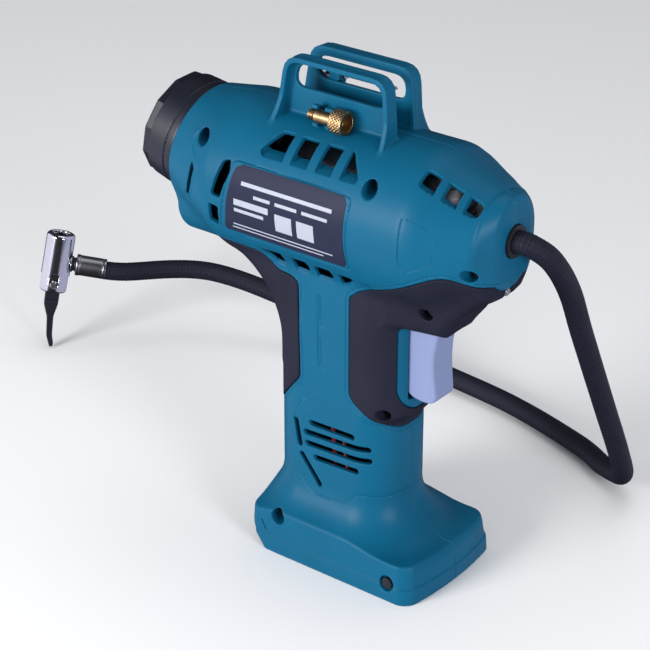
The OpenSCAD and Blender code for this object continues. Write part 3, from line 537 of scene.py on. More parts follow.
def housing(x, y, z, right):
    """One half of the housing; y is counted outward from the split."""
    outer = skin(x, y, z)
    d = np.maximum(outer, -(outer + WALL))
    d = np.minimum(d, np.maximum(outer, z - 14.6))
    if right:
        for sx, sz, floor, r in SCREWS:
            post = np.hypot(x - sx, z - sz)
            d = np.minimum(d, np.maximum(np.maximum(post - r - 1.3, outer), y - floor - 30))
    extra = np.maximum(loops(x, y, z, right), -(outer + 1.2))
    d = smin(d, extra, 1.4)
    arc = BARREL_R * np.arctan2(y, z - BARREL_Z)
    near = (outer > -11) & (outer < 9) & (z > 150)
    cuts = np.full(x.shape, FAR, np.float32)
    shelf, slots, ridge = cuts.copy(), cuts.copy(), cuts.copy()
    at = x[near], arc[near], outer[near]
    cuts[near] = barrel_cuts(*at, right)
    slots[near], shelf[near] = louvres(*at)
    ridge[near] = trace(at[0], at[1], RIDGE, 0.45)
    d = smin(d, smax(ridge, outer - 0.4, 0.6), 0.9)
    d = np.minimum(d, shelf)
    d = smax(d, -np.minimum(cuts, slots), 0.4)
    gap = local(x, y, z, (-52, 10, 30), (27, 30, 147), grip_cuts)
    d = smax(d, -gap, 0.5)
    for which in ("front", "rear"):
        edge = pad_outline(x, y, z, which)
        d = smax(d, -pocket(outer, edge - 0.34, 0.9), 0.3)
        bead = np.maximum(np.abs(edge - 2.0) - 0.2, 2.5 - strip_shape(x, y, z))
        d = smax(d, -pocket(outer, bead, 0.25), 0.3)
    if right:
        lined = [(sx, sz, floor, r + LINING + 0.05) for sx, sz, floor, r in PAD_SCREWS]
        for sx, sz, floor, r in SCREWS + lined:
            hole = np.hypot(x - sx, z - sz) - r
            d = smax(d, -np.maximum(hole, floor - y), 0.7)
    along = (x - PANEL_AT[0]) * PANEL_N[0] + (z - PANEL_AT[1]) * PANEL_N[1]
    up = (x - PANEL_AT[0]) * PANEL_UP[0] + (z - PANEL_AT[1]) * PANEL_UP[1]
    d = np.maximum(d, -np.maximum(np.hypot(y, up) - 26.6, -8 - along))
    d = smax(d, -np.maximum(np.hypot(y, z - HOLE_Z) - 8.0, 60 - x), 0.8)
    d = smax(d, -np.maximum(np.hypot(y, z - LED_Z) - 2.7, 64 - x), 0.5)
    slot = np.maximum(round_box(y, z, -9.3, 9.3, 98.4, 142, 1.2), np.maximum(15.5 - x, z - 141))
    d = np.maximum(d, -np.maximum(slot, np.minimum(106 - z, -(outer + 3.4))))
    for x0, x1, z0, z1, half in BATTERY_BAY:
        bay = np.maximum(np.maximum(x0 - x, x - x1), np.maximum(z0 - z, z - z1))
        d = np.maximum(d, -np.maximum(bay, y - half))
    mark = np.maximum(capsule(x, z, (-43.5, 15.5), (-40.5, 11.0), 0.35), 34 - y)
    d = np.maximum(d, -mark)
    return smax(d, 0.03 - y, 0.45)


def pad(x, y, z, which, right):
    """A soft pad; on the right half its screw holes are lined with the same rubber."""
    outer = skin(x, y, z)
    edge = pad_outline(x, y, z, which)
    linings = np.full(x.shape, FAR, np.float32)
    for sx, sz, floor, r in PAD_SCREWS if right and which == "front" else []:
        away = np.hypot(x - sx, z - sz) - r
        edge = smax(edge, -away, 0.5)
        wall = np.maximum(np.abs(away - LINING / 2) - LINING / 2, floor + 0.8 - y)
        linings = np.minimum(linings, np.maximum(wall, outer - 0.1))
    edge = np.maximum(edge, 3.4 - np.hypot(y, z - LED_Z))
    edge = np.maximum(edge, x - FACE_X + 2.2)
    d = smax(outer - 0.3, edge, 0.9)
    d = np.minimum(np.maximum(d, -(outer + 0.85)), linings)
    return smax(d, 0.03 - y, 0.4)


# ---------------------------------------------------------------- other sculpted pieces
PANEL_FRAME = np.array([[PANEL_UP[0], 0, PANEL_N[0], PANEL_AT[0]], [0, 1, 0, 0],
                        [PANEL_UP[1], 0, PANEL_N[1], PANEL_AT[1]], [0, 0, 0, 1]], float)
BUTTONS = [(-8, -12), (-8, 12), (-14.5, -4.6), (-14.5, 4.6)]


def bezel(x, y, z):
    """Rear ring in the panel's frame: x up the panel, z out of it."""
    r = np.hypot(x, y)
    turn = np.arctan2(y, x)
    d = corner(r - (28.9 - 0.065 * z), np.maximum(z - 20, -z), 0.9)
    cell = 2 * math.pi / 12
    within = np.mod(turn + math.radians(17), cell) - cell / 2
    flat = np.maximum(26.35 - r * np.cos(within), 15.4 - z)
    d = smax(d, -flat, 0.35)
    d = smax(d, -np.maximum(np.abs(z - 4.6) - 0.4, 28.1 - r), 0.3)
    d = smax(d, -np.maximum(r - 24.6, 17 - z), 0.8)
    d = np.minimum(d, np.maximum(r - 26.3, np.maximum(z - 0.5, -3.6 - z)))
    d = np.maximum(d, -np.maximum(r - 24, z - 15))
    # A black sleeve runs 34 mm into the barrel behind its side slots: it stands in for the motor there, and
    # its black gives the slots the painted shade of the dark hollow inside.
    d = np.minimum(d, np.maximum(np.abs(r - 24.3) - 0.9, np.maximum(z, -34 - z)))
    window = round_box(x, y, -1.5, 15.5, -17, 17, 1.0)
    d = smax(d, -np.maximum(window, 12 - z), 0.4)
    for bx, by in BUTTONS:
        d = smax(d, -np.maximum(np.hypot(x - bx, y - by) - 3.75, 12 - z), 0.5)
    return d


TRIGGER = rounded([(24, 100.6), (36, 99.2), (41.6, 99.6), (43.3, 102.4), (42.3, 111), (41.6, 120),
                   (42.1, 128),
                   (43.4, 134.5), (43.5, 138.9), (24, 138.9)], 2.0)


def trigger(x, y, z):
    front = polygon(x, z, TRIGGER)
    heel = np.where((x < 34) & (z < 109.5), np.hypot(x - 34, z - 109.5) - 10, -FAR)
    side = np.abs(y) - 8.85 + 0.16 * np.maximum(x - 38.5, 0) ** 1.35
    d = corner(np.maximum(front, heel), side, 1.1)
    plate = np.maximum(np.abs(y) - 8.85, np.abs(z - 122.8) - 16)
    plate = np.maximum(plate, np.maximum(20.9 - x, x - 24.6))
    return np.minimum(d, plate)


# The chuck's middle; its axis, the hose's way into it, and the lever pin's way
CHUCK_AT = middle("chuck_body")
PIN_Z = -12.5
CHUCK_R = 8.5


def unit(v):
    return v / np.linalg.norm(v)


AXIS_C = unit(np.array([0.035, 0.253, 0.966]))
STEM_DIR = np.array([0.757, 0.647, -0.085])
AXIS_S = unit(STEM_DIR - (STEM_DIR @ AXIS_C) * AXIS_C)
AXIS_P = np.cross(AXIS_C, AXIS_S)
CHUCK_FRAME = np.eye(4)
CHUCK_FRAME[:3, 0], CHUCK_FRAME[:3, 1], CHUCK_FRAME[:3, 2] = AXIS_S, AXIS_P, AXIS_C
CHUCK_FRAME[:3, 3] = CHUCK_AT


def chuck_body(x, y, z):
    r = np.hypot(x, y)
    d = corner(r - CHUCK_R, np.abs(z) - 18, 2.2)
    d = smax(d, -np.maximum(r - 5.3, 14.5 - z), 0.7)
    d = smax(d, -np.maximum(r - 4.2, 4 - z), 0.5)
    d = np.maximum(d, -np.maximum(r - 3, np.abs(z - 2) - 4))
    eye = capsule(x, z, (0, -8.8), (0, -11.6), 2.9)
    d = smax(d, -np.maximum(eye, CHUCK_R - 1.9 - np.abs(y)), 0.4)
    d = smax(d, -np.maximum(np.abs(y) - 2.75, z + 7.8), 0.5)
    d = np.maximum(d, -(np.hypot(x, z - PIN_Z) - 1.55))
    shoulder = corner(np.hypot(y, z) - 5.2, np.maximum(x - 8.6, -x), 0.4)
    return smin(d, np.maximum(shoulder, 3 - r), 0.4)


LEVER = rounded([(-2.9, -11.5), (2.9, -11.5), (4.3, -20), (4.4, -26), (2.7, -34), (3.6, -46), (5.3, -52.4),
                 (3.0, -53.0), (0.3, -46), (-1.1, -34), (-4, -26), (-4.3, -20)], 1.2)


def lever(x, y, z):
    side = np.minimum(polygon(x, z, LEVER), np.hypot(x, z - PIN_Z) - 3.2)
    width = 2.5 + 1.3 * ease(-z, 21.5, 24.5) - 1.4 * ease(-z, 30, 52)
    d = corner(side, np.abs(y) - width, 0.7)
    for i in range(4):
        d = smax(d, -(np.hypot(z + 25 + 2.1 * i, x - 4.8 + 0.3 * i) - 0.7), 0.3)
    return np.maximum(d, 1.55 - np.hypot(x, z - PIN_Z))


def ferrule(x, y, z):
    """Rolled sleeve along x in the chuck's frame, with a lip at the chuck's end."""
    r = np.hypot(y, z)
    d = corner(r - 6.1, np.abs(x - 20.3) - 8.9, 0.4)
    d = smin(d, corner(r - 6.4, np.abs(x - 12.5) - 1.1, 0.8), 0.6)
    d = smax(d, -(np.hypot(r - 6.35, x - 27.2) - 0.4), 0.3)
    return smax(d, np.where(x > 20.2, 5.66, 4.35) - r, 0.2)


def stem(x, y, z):
    r = np.hypot(y, z)
    d = np.maximum(r - 4.3, np.maximum(7.6 - x, x - 20))
    d = smax(d, -(np.hypot(r - 4.6, x - 10.0) - 0.7), 0.3)
    return smin(d, corner(r - 4.75, np.abs(x - 9.0) - 0.5, 0.2), 0.2)


def adapter(x, y, z):
    """Brass adapter along x from its thin end, centred on its own axis."""
    r = np.hypot(y, z)
    turn = np.arctan2(z, y)
    lines = 5.9 * turn
    knurl = sum(np.maximum(np.cos((lines + way * x) * 3.39), 0) ** 6 for way in (1, -1))
    knurl = np.minimum(knurl, 1) * 0.33 * ease(np.abs(x - 18.2), 3.4, 2.9)
    d = corner(r - 5.9 + knurl, np.abs(x - 18.2) - 3.6, 0.45)
    body = corner(r - 3.45, np.maximum(4 - x, x - 16), 0.4)
    thin = corner(r - 2.7 + 0.18 * np.cos(x * 7.0), np.maximum(-x, x - 6), 0.3)
    d = smin(d, smin(body, thin, 0.3), 0.5)
    d = smax(d, -np.maximum(r - 4.1, 16.6 - x), 0.3)
    return smax(d, 1.5 - r, 0.2)


# ---------------------------------------------------------------- the hose
HOSE_R = 5.6
# The point where the hose's fixed run ends and its free run starts, and the waypoints of both runs
PIVOT = np.array([57.5, 130.5, 7.4])
RUN_FIXED = [(81, 0, HOLE_Z), (86.5, 1.5, 193), (92, 12, 183), (89.5, 33, 159), (86, 53, 127),
             (83.4, 82, 76), (82, 104, 36), (76, 120, 13), tuple(PIVOT)]
RUN_FREE = [tuple(PIVOT), (34, 143, 6.3), (-20, 158, 6.2), (-84, 163, 8.6), (-150, 152, 25), (-215, 128, 43),
            tuple(CHUCK_AT + 38 * AXIS_S), tuple(CHUCK_AT + 20.5 * AXIS_S)]


def curve(points, n):
    """A smooth line through the waypoints, as the CAD draws it."""
    p = np.array(points, float)
    last = len(p) - 1
    tangent = [(p[min(i + 1, last)] - p[max(i - 1, 0)]) / 2 for i in range(last + 1)]
    t = np.linspace(0, 1, n, endpoint=False)[:, None]
    start, end = 2 * t ** 3 - 3 * t ** 2 + 1, 3 * t ** 2 - 2 * t ** 3
    leave, reach = t ** 3 - 2 * t ** 2 + t, t ** 3 - t ** 2
    spans = [start * p[i] + leave * tangent[i] + end * p[i + 1] + reach * tangent[i + 1]
             for i in range(last)]
    return np.concatenate(spans + [p[-1:]])


def even(path, step):
    length = np.concatenate([[0], np.cumsum(np.linalg.norm(np.diff(path, axis=0), axis=1))])
    s = np.linspace(0, length[-1], int(length[-1] / step))
    return np.stack([np.interp(s, length, path[:, k]) for k in range(3)], 1), s


def swept(name, path, radius, count):
    """A closed tube along a path; radius(i, angles) gives the shape of each ring."""
    along = np.gradient(path, axis=0)
    along /= np.linalg.norm(along, axis=1, keepdims=True)
    side = np.array([0.1, 1.0, 0.2])
    angle = np.arange(count) * 2 * math.pi / count
    rings = []
    for i, d in enumerate(along):
        side = unit(side - (side @ d) * d)
        up = np.cross(d, side)
        spokes = np.cos(angle)[:, None] * side + np.sin(angle)[:, None] * up
        rings.append(path[i] + radius(i, angle)[:, None] * spokes)
    points = np.concatenate(rings + [path[:1], path[-1:]])
    n = len(path)
    after = [(k + 1) % count for k in range(count)]
    faces = [(i * count + k, i * count + after[k], (i + 1) * count + after[k], (i + 1) * count + k)
             for i in range(n - 1) for k in range(count)]
    end = (n - 1) * count
    faces += [(n * count, after[k], k) for k in range(count)]
    faces += [(n * count + 1, end + k, end + after[k]) for k in range(count)]
    mesh = bpy.data.meshes.new(name)
    mesh.from_pydata((points * MM).tolist(), [], faces)
    mesh.polygons.foreach_set("use_smooth", np.ones(len(mesh.polygons), bool))
    obj = bpy.data.objects.new(name, mesh)
    bpy.context.scene.collection.objects.link(obj)
    return obj


def hose_mesh():
    path = np.concatenate([[[71.2, 0, HOLE_Z]], curve(RUN_FIXED, 40)[:-1], curve(RUN_FREE, 40)])
    path, s = even(path, 0.5)
    for _ in range(12):
        path[1:-1] = (path[:-2] + path[1:-1] * 2 + path[2:]) / 4
    count = 72

    def weave(i, angle):
        strands = np.cos(9 * angle + s[i] * 1.55) * np.cos(9 * angle - s[i] * 1.55)
        return HOSE_R - 0.12 + 0.13 * strands

    obj = swept("hose", path, weave, count)
    mesh = obj.data
    total = len(path) * count
    wrap = np.array([(v % count) / count if v < total else 0 for v in range(total + 2)])
    run = np.array([s[min(v // count, len(path) - 1)] for v in range(total + 2)])
    loop = np.zeros(len(mesh.loops), np.int32)
    mesh.loops.foreach_get("vertex_index", loop)
    uv = mesh.uv_layers.new(name="braid")
    uv.data.foreach_set("uv", np.stack([wrap[loop], run[loop] / 10], 1).astype(np.float32).ravel())
    return obj


def coil(name, node, pusher, k, wire, turns, mats):
    """A wound spring in the place of its CAD stand-in, wound along axis k."""
    lo, hi = box_mm(node)
    push = middle(pusher)
    mid, size = (lo + hi) / 2, hi - lo
    u, v = [i for i in range(3) if i != k]
    turn = np.linspace(0, 1, turns * 20 + 1)
    path = np.tile(mid, (len(turn), 1))
    path[:, k] = lo[k] + wire + turn * (size[k] - 2 * wire)
    path[:, u] += (size[u] / 2 - wire) * np.cos(2 * math.pi * turns * turn)
    path[:, v] += (size[u] / 2 - wire) * np.sin(2 * math.pi * turns * turn)

    def even_wire(i, angle):
        return np.full(len(angle), wire)

    obj = swept(name, path, even_wire, 10)
    body = frame["nodes"][node].parent.name.split(":")[1]
    place(obj, body, "steel", mats["steel"], node)
    anchor, axis = mid.copy(), np.zeros(3)
    anchor[k] = lo[k] if push[k] > mid[k] else hi[k]
    axis[k] = 1
    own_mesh(obj)


# ---------------------------------------------------------------- materials
def new_material(name):
    mat = bpy.data.materials.new(name)
    mat.use_nodes = True
    nodes, links = mat.node_tree.nodes, mat.node_tree.links
    return mat, nodes, links, nodes["Principled BSDF"]


def noise(nodes, links, size_mm, detail=3.0, rough=0.55):
    coord = nodes.new("ShaderNodeTexCoord")
    tex = nodes.new("ShaderNodeTexNoise")
    tex.inputs["Scale"].default_value = 1000 / size_mm
    tex.inputs["Detail"].default_value = detail
    tex.inputs["Roughness"].default_value = rough
    links.new(coord.outputs["Object"], tex.inputs["Vector"])
    return tex


def spread(nodes, links, socket, lo, hi):
    node = nodes.new("ShaderNodeMapRange")
    node.inputs["From Min"].default_value = 0.3
    node.inputs["From Max"].default_value = 0.7
    node.inputs["To Min"].default_value = lo
    node.inputs["To Max"].default_value = hi
    links.new(socket, node.inputs["Value"])
    return node.outputs["Result"]


def mix_colour(nodes, links, factor, a, b):
    node = nodes.new("ShaderNodeMix")
    node.data_type = "RGBA"
    links.new(factor, node.inputs["Factor"])
    for socket, value in ((node.inputs[6], a), (node.inputs[7], b)):
        if isinstance(value, tuple):
            socket.default_value = (*value, 1)
        else:
            links.new(value, socket)
    return node.outputs[2]


def finish(name, colour, rough, grain_mm=0.35, bump=0.2, metal=0.0, vary=0.08, edge_wear_and_highlight=None, coat=0.0,
           patch_mm=30, rough_vary=0.06, depth_mm=0.02, shine=0.5):
    """A surface with large colour drift, fine grain in bump and roughness, and sharp edges lightened, partly
    as wear and partly as a painted highlight.
    """
    mat, nodes, links, bsdf = new_material(name)
    drift = noise(nodes, links, patch_mm, 4)
    darker = tuple(c * (1 - vary) for c in colour)
    lighter = tuple(min(1, c * (1 + vary)) for c in colour)
    base = mix_colour(nodes, links, spread(nodes, links, drift.outputs["Fac"], 0, 1), darker, lighter)
    grain = noise(nodes, links, grain_mm, 2)
    # Sharp edges, found by pointiness, take the lighter edge colour: partly wear, partly a painted highlight
    # along the edges.
    if edge_wear_and_highlight:
        edge = nodes.new("ShaderNodeNewGeometry")
        ramp = nodes.new("ShaderNodeMapRange")
        ramp.inputs["From Min"].default_value = 0.53
        ramp.inputs["From Max"].default_value = 0.62
        ramp.inputs["To Max"].default_value = 0.55
        links.new(edge.outputs["Pointiness"], ramp.inputs["Value"])
        base = mix_colour(nodes, links, ramp.outputs["Result"], base, edge_wear_and_highlight)
    links.new(base, bsdf.inputs["Base Color"])
    links.new(spread(nodes, links, grain.outputs["Fac"], rough - rough_vary, rough + rough_vary),
              bsdf.inputs["Roughness"])
    height = nodes.new("ShaderNodeBump")
    height.inputs["Strength"].default_value = bump
    height.inputs["Distance"].default_value = depth_mm * MM
    links.new(grain.outputs["Fac"], height.inputs["Height"])
    links.new(height.outputs["Normal"], bsdf.inputs["Normal"])
    bsdf.inputs["Metallic"].default_value = metal
    bsdf.inputs["Coat Weight"].default_value = coat
    bsdf.inputs["Specular IOR Level"].default_value = shine
    return mat


def braid_material():
    """Woven black cover: two sets of slanting strands laid over each other, darker in the painted shade of
    the dips and lighter in a painted sheen on the crowns.
    """
    mat, nodes, links, bsdf = new_material("braid")
    coord = nodes.new("ShaderNodeUVMap")
    coord.uv_map = "braid"
    parts = nodes.new("ShaderNodeSeparateXYZ")
    links.new(coord.outputs["UV"], parts.inputs["Vector"])

    def math_node(kind, a, b=None):
        node = nodes.new("ShaderNodeMath")
        node.operation = kind
        for i, value in enumerate((a, b)):
            if value is None:
                continue
            if isinstance(value, (int, float)):
                node.inputs[i].default_value = value
            else:
                links.new(value, node.inputs[i])
        return node.outputs[0]

    turn = math_node("MULTIPLY", parts.outputs["X"], 2 * math.pi * 18)
    run = math_node("MULTIPLY", parts.outputs["Y"], 31.0)
    one = math_node("COSINE", math_node("ADD", turn, run))
    two = math_node("COSINE", math_node("SUBTRACT", turn, run))
    weave = math_node("MULTIPLY", one, two)
    # The weave's height sets the colour: the dips between strands are painted shade and the crowns a painted
    # sheen.
    level = nodes.new("ShaderNodeMapRange")
    level.inputs["From Min"].default_value = -1
    links.new(weave, level.inputs["Value"])
    fibre = noise(nodes, links, 0.25, 3)
    base = mix_colour(nodes, links, level.outputs["Result"], (0.004, 0.0045, 0.009), (0.017, 0.019, 0.034))
    links.new(base, bsdf.inputs["Base Color"])
    links.new(spread(nodes, links, fibre.outputs["Fac"], 0.36, 0.56), bsdf.inputs["Roughness"])
    fuzz = math_node("MULTIPLY", fibre.outputs["Fac"], 0.7)
    both = math_node("ADD", math_node("MULTIPLY", weave, 1.0), fuzz)
    height = nodes.new("ShaderNodeBump")
    height.inputs["Strength"].default_value = 0.7
    height.inputs["Distance"].default_value = 0.15 * MM
    links.new(both, height.inputs["Height"])
    links.new(height.outputs["Normal"], bsdf.inputs["Normal"])
    bsdf.inputs["Specular IOR Level"].default_value = 0.15
    return mat


def clear_material(name, colour, rough):
    mat = finish(name, colour, rough, 0.6, 0.05)
    bsdf = mat.node_tree.nodes["Principled BSDF"]
    bsdf.inputs["Transmission Weight"].default_value = 0.85
    bsdf.inputs["IOR"].default_value = 1.5
    return mat


def materials():
    teal = (0.002, 0.085, 0.165)
    # The edge colours given to the body, trigger and brass lighten their sharp edges: partly wear, partly
    # painted highlight.
    return {
        "body_plastic": finish("body_plastic", teal, 0.40, 0.30, 0.28, vary=0.06,
                               edge_wear_and_highlight=(0.02, 0.15, 0.26), depth_mm=0.03, shine=0.12),
        "soft_grip": finish("soft_grip", (0.0125, 0.0135, 0.026), 0.6, 0.45, 0.35, vary=0.12,
                            depth_mm=0.04, shine=0.1),
        "black_plastic": finish("black_plastic", (0.008, 0.010, 0.018), 0.38, 0.35, 0.25, vary=0.15,
                                shine=0.4),
        "display_glass": finish("display_glass", (0.010, 0.013, 0.016), 0.08, 2.0, 0.02, vary=0.2, coat=1.0),
        "circuit_board": finish("circuit_board", (0.01, 0.09, 0.035), 0.35, 0.8, 0.3, vary=0.25, patch_mm=3),
        "steel": finish("steel", (0.50, 0.50, 0.52), 0.30, 0.4, 0.25, metal=1, vary=0.1, patch_mm=6),
        "label_film": finish("label_film", (0.016, 0.019, 0.042), 0.4, 0.5, 0.08, vary=0.05, shine=0.1),
        "led_glass": clear_material("led_glass", (0.85, 0.9, 0.95), 0.06),
        "contact_brass": finish("contact_brass", (0.62, 0.44, 0.18), 0.3, 0.4, 0.2, metal=1, vary=0.15,
                                patch_mm=4),
        "wire_jacket": finish("wire_jacket", (0.4, 0.02, 0.02), 0.4, 0.6, 0.1, vary=0.1),
        "cast_aluminium": finish("cast_aluminium", (0.5, 0.5, 0.52), 0.5, 0.7, 0.5, metal=1, vary=0.12,
                                 depth_mm=0.06),
        "clear_tube": finish("clear_tube", (0.7, 0.7, 0.66), 0.25, 1.0, 0.05, vary=0.05, coat=0.4),
        "hose_rubber": finish("hose_rubber", (0.012, 0.012, 0.014), 0.5, 0.5, 0.3, vary=0.15),
        "trigger_plastic": finish("trigger_plastic", (0.18, 0.22, 0.38), 0.4, 0.4, 0.12, vary=0.03,
                                  edge_wear_and_highlight=(0.3, 0.34, 0.5), shine=0.3),
        "white_plastic": finish("white_plastic", (0.74, 0.72, 0.66), 0.42, 0.5, 0.15, vary=0.04),
        "button_rubber": finish("button_rubber", (0.30, 0.31, 0.33), 0.6, 0.4, 0.3, vary=0.06),
        "copper_steel": finish("copper_steel", (0.42, 0.22, 0.12), 0.35, 0.5, 0.5, metal=1, vary=0.3,
                               patch_mm=2),
        "seal_rubber": finish("seal_rubber", (0.01, 0.01, 0.01), 0.55, 0.5, 0.2, vary=0.2),
        "ferrule_steel": finish("ferrule_steel", (0.34, 0.34, 0.36), 0.34, 0.25, 0.35, metal=1, vary=0.14,
                                patch_mm=5),
        "chuck_chrome": finish("chuck_chrome", (0.78, 0.79, 0.82), 0.12, 0.3, 0.05, metal=1, vary=0.04,
                               patch_mm=8, rough_vary=0.04),
        "adapter_brass": finish("adapter_brass", (0.40, 0.26, 0.13), 0.32, 0.3, 0.3, metal=1, vary=0.25,
                                patch_mm=3, edge_wear_and_highlight=(0.85, 0.74, 0.55)),
        "braid": braid_material(),
        "print": finish("print", (0.32, 0.34, 0.41), 0.5, 0.5, 0.1, vary=0.05),
        "screw_steel": finish("screw_steel", (0.045, 0.045, 0.05), 0.4, 0.4, 0.3, metal=0.9, vary=0.2,
                              patch_mm=3),
    }


def paint(obj, material):
    obj.data.materials.clear()
    obj.data.materials.append(material)


# ---------------------------------------------------------------- building
def place(obj, body, slot, material, *nodes):
    paint(obj, material)
    if nodes:
        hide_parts(*nodes)
    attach(obj, body)
    return obj


def build_housing(mats):
    lo, hi = (-116, -0.8, -1), (81, 40.6, 261)
    for name, right in (("housing_right", True), ("housing_left", False)):
        half = sculpt(name + "_shell", partial(housing, right=right), lo, hi, FINE, mirror=right)
        place(half, "body", "body_plastic", mats["body_plastic"], name)


def build_pads(mats):
    boxes = {"front": ((1, -0.8, 76), (79, 36, 183)), "rear": ((-94, -0.8, 72), (-26, 28, 162))}
    for which, (lo, hi) in boxes.items():
        for side in ("right", "left"):
            right = side == "right"
            node = f"pad_{which}_{side}"
            shape = partial(pad, which=which, right=right)
            obj = sculpt(node + "_skin", shape, lo, hi, PAD_STEP, mirror=right)
            place(obj, "body", "soft_grip", mats["soft_grip"], node)


def build_small(mats):
    ring = sculpt("bezel_ring", bezel, (-30, -30, -35), (30, 30, 21), 0.5, PANEL_FRAME)
    place(ring, "body", "black_plastic", mats["black_plastic"], "rear_bezel")
    blade = sculpt("trigger_blade", trigger, (20, -10, 98), (45, 10, 140), 0.45)
    place(blade, "trigger_unit", "trigger_plastic", mats["trigger_plastic"], "trigger")
    chuck = sculpt("chuck_barrel", chuck_body, (-9.5, -9.5, -19), (10.5, 9.5, 19), 0.3, CHUCK_FRAME)
    place(chuck, "hose_end", "chuck_chrome", mats["chuck_chrome"], "chuck_body")
    arm = sculpt("lever_arm", lever, (-6, -5, -54.5), (6.5, 5, -8), 0.35, CHUCK_FRAME)
    place(arm, "lever", "black_plastic", mats["black_plastic"], "chuck_lever")
    sleeve = sculpt("ferrule_sleeve", ferrule, (10.5, -7.5, -7.5), (30, 7.5, 7.5), 0.3, CHUCK_FRAME)
    place(sleeve, "hose_end", "ferrule_steel", mats["ferrule_steel"], "hose_ferrule")
    neck = sculpt("stem_neck", stem, (7, -6, -6), (20.5, 6, 6), 0.3, CHUCK_FRAME)
    place(neck, "hose_end", "black_plastic", mats["black_plastic"], "chuck_stem")
    spot = np.eye(4)
    spot[:3, 3] = (box_mm("brass_adapter")[0][0], *middle("brass_adapter")[1:])
    brass = sculpt("adapter_knurled", adapter, (-1, -7, -7), (23, 7, 7), 0.22, spot)
    place(brass, "adapter", "adapter_brass", mats["adapter_brass"], "brass_adapter")


def build_hose(mats):
    hose = hose_mesh()
    paint(hose, mats["braid"])
    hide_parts("hose_fixed", "hose_free")
    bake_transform(hose)


# x from and to, degrees round the barrel from and to
LABEL_BARS = [(-50, 4, 74.5, 77.3), (-42, -32, 82, 84.4), (-29, -16, 82, 84.4), (-13, 2, 82, 84.4),
              (-54, -33, 88, 92.6), (-54, -36, 95, 97.6), (-29, -19, 90, 103), (-16, -6, 90, 103),
              (-56, 4, 108, 109.1), (-57, -2, 111.2, 112.3)]
PRINT_LIFT = 0.31


def bar(points, faces, x0, x1, a0, a1):
    """A printed bar on the label, from arc a0 to a1 degrees round the barrel."""
    n = max(2, int((a1 - a0) / 1.5) + 1)
    base = len(points)
    for a in np.radians(np.linspace(a0, a1, n)):
        for x in (x0, x1):
            r = BARREL_R + PRINT_LIFT
            points.append((x, -r * math.sin(a), BARREL_Z + r * math.cos(a)))
    for i in range(n - 1):
        k = base + 2 * i
        faces.append((k, k + 2, k + 3, k + 1))


def build_label(mats):
    """Plain bars stand where the film is printed; there is no lettering."""
    points, faces = [], []
    for x0, x1, a0, a1 in LABEL_BARS:
        bar(points, faces, x0, x1, a0, a1)
    obj = mesh_object("label_bars", np.array(points), np.array(faces))
    place(obj, "body", "label_film", mats["print"])


def dress_cad(mats):
    slots = {s["node"]: s["material_slot"] for s in frame["record"]["subparts"]}
    for name, obj in frame["nodes"].items():
        paint(obj, mats["screw_steel" if name == "housing_screws" else slots[name]])


# ---------------------------------------------------------------- stage
def area_light(name, at, target, size, power, colour):
    light = bpy.data.lights.new(name, "AREA")
    light.shape = "DISK"
    light.size = size
    light.energy = power
    light.color = colour
    obj = bpy.data.objects.new(name, light)
    obj.location = at
    obj.rotation_euler = (Vector(target) - Vector(at)).to_track_quat("-Z", "Y").to_euler()
    bpy.context.scene.collection.objects.link(obj)


FLOOR_HALF = 6.0
AIM = (-0.02, 0, 0.14)


def set_stage():
    mat = finish("floor", (0.92, 0.92, 0.93), 0.7, 3.0, 0.02, vary=0.005, patch_mm=400)
    mesh = bpy.data.meshes.new("floor")
    corners = [(-FLOOR_HALF, -FLOOR_HALF, 0), (FLOOR_HALF, -FLOOR_HALF, 0),
               (FLOOR_HALF, FLOOR_HALF, 0), (-FLOOR_HALF, FLOOR_HALF, 0)]
    mesh.from_pydata(corners, [], [(0, 1, 2, 3)])
    floor = bpy.data.objects.new("floor", mesh)
    bpy.context.scene.collection.objects.link(floor)
    paint(floor, mat)
    floor.visible_glossy = False
    set_world()
    area_light("key", (-0.45, -1.35, 0.50), AIM, 0.7, 24, (1.0, 0.99, 0.98))
    area_light("top", (0.0, 0.4, 1.5), AIM, 0.9, 2.6, (0.96, 0.98, 1.0))
    area_light("side", (1.3, -0.5, 0.42), AIM, 0.5, 11, (0.95, 0.95, 1.0))


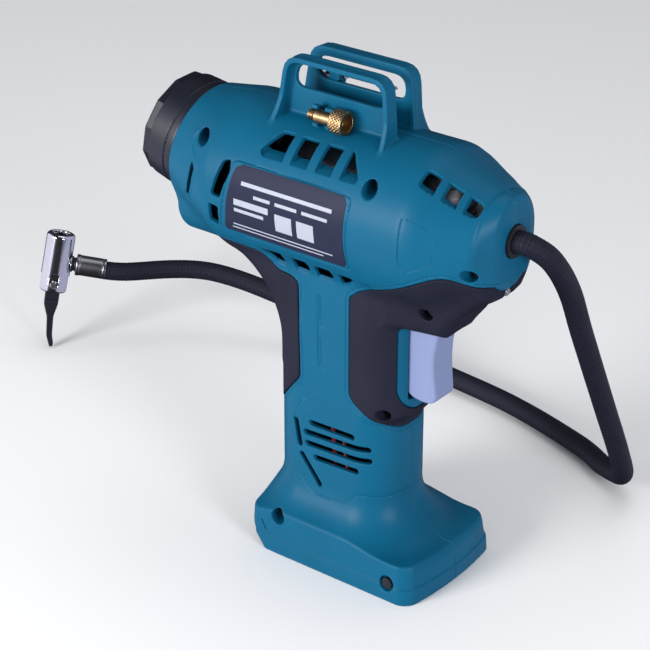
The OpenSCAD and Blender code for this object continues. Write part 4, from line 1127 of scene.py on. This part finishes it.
def set_world():
    """Even pale light, with dark and bright sides for what shiny surfaces mirror."""
    world = bpy.data.worlds.new("studio")
    world.use_nodes = True
    nodes, links = world.node_tree.nodes, world.node_tree.links
    plain = nodes["Background"]
    plain.inputs["Color"].default_value = (0.96, 0.98, 1.0, 1)
    plain.inputs["Strength"].default_value = 0.5
    bands = nodes.new("ShaderNodeBackground")
    coord = nodes.new("ShaderNodeTexCoord")
    across = nodes.new("ShaderNodeVectorMath")
    across.operation = "DOT_PRODUCT"
    across.inputs[1].default_value = CAMERA_RIGHT
    span = nodes.new("ShaderNodeMapRange")
    span.inputs["From Min"].default_value = -1
    ramp = nodes.new("ShaderNodeValToRGB")
    ramp.color_ramp.elements[0].color = (0.85, 0.86, 0.95, 1)
    ramp.color_ramp.elements[1].color = (0.42, 0.43, 0.60, 1)
    for at, level in ((0.14, 0.8), (0.2, 0.03), (0.66, 0.02), (0.76, 0.40)):
        ramp.color_ramp.elements.new(at).color = (level, level, level * 1.3, 1)
    links.new(coord.outputs["Generated"], across.inputs[0])
    links.new(across.outputs["Value"], span.inputs["Value"])
    links.new(span.outputs["Result"], ramp.inputs["Fac"])
    links.new(ramp.outputs["Color"], bands.inputs["Color"])
    path = nodes.new("ShaderNodeLightPath")
    mix = nodes.new("ShaderNodeMixShader")
    links.new(path.outputs["Is Glossy Ray"], mix.inputs["Fac"])
    links.new(plain.outputs["Background"], mix.inputs[1])
    links.new(bands.outputs["Background"], mix.inputs[2])
    links.new(mix.outputs["Shader"], nodes["World Output"].inputs["Surface"])
    bpy.context.scene.world = world


def set_camera():
    """The photograph's view: right, up and back axes of the camera."""
    right = Vector(CAMERA_RIGHT).normalized()
    back = Vector(CAMERA_BACK).normalized()
    up = back.cross(right).normalized()
    right = up.cross(back)
    data = bpy.data.cameras.new("camera")
    data.lens = CAMERA_LENS
    data.sensor_width = 36
    data.clip_start, data.clip_end = 0.01, 50
    camera = bpy.data.objects.new("camera", data)
    rows = Matrix((right, up, back)).transposed()
    camera.matrix_world = Matrix.Translation(Vector(CAMERA_AT) * MM) @ rows.to_4x4()
    bpy.context.scene.collection.objects.link(camera)
    bpy.context.scene.camera = camera


def main():
    scene = bpy.context.scene
    scene.view_settings.view_transform = "Standard"
    mats = materials()
    dress_cad(mats)
    build_housing(mats)
    build_pads(mats)
    build_small(mats)
    build_hose(mats)
    coil("trigger_coil", "trigger_spring", "trigger", 0, 0.35, 5, mats)
    coil("valve_coil", "valve_spring", "check_valve", 2, 0.2, 4, mats)
    build_label(mats)
    set_stage()
    set_camera()


main()
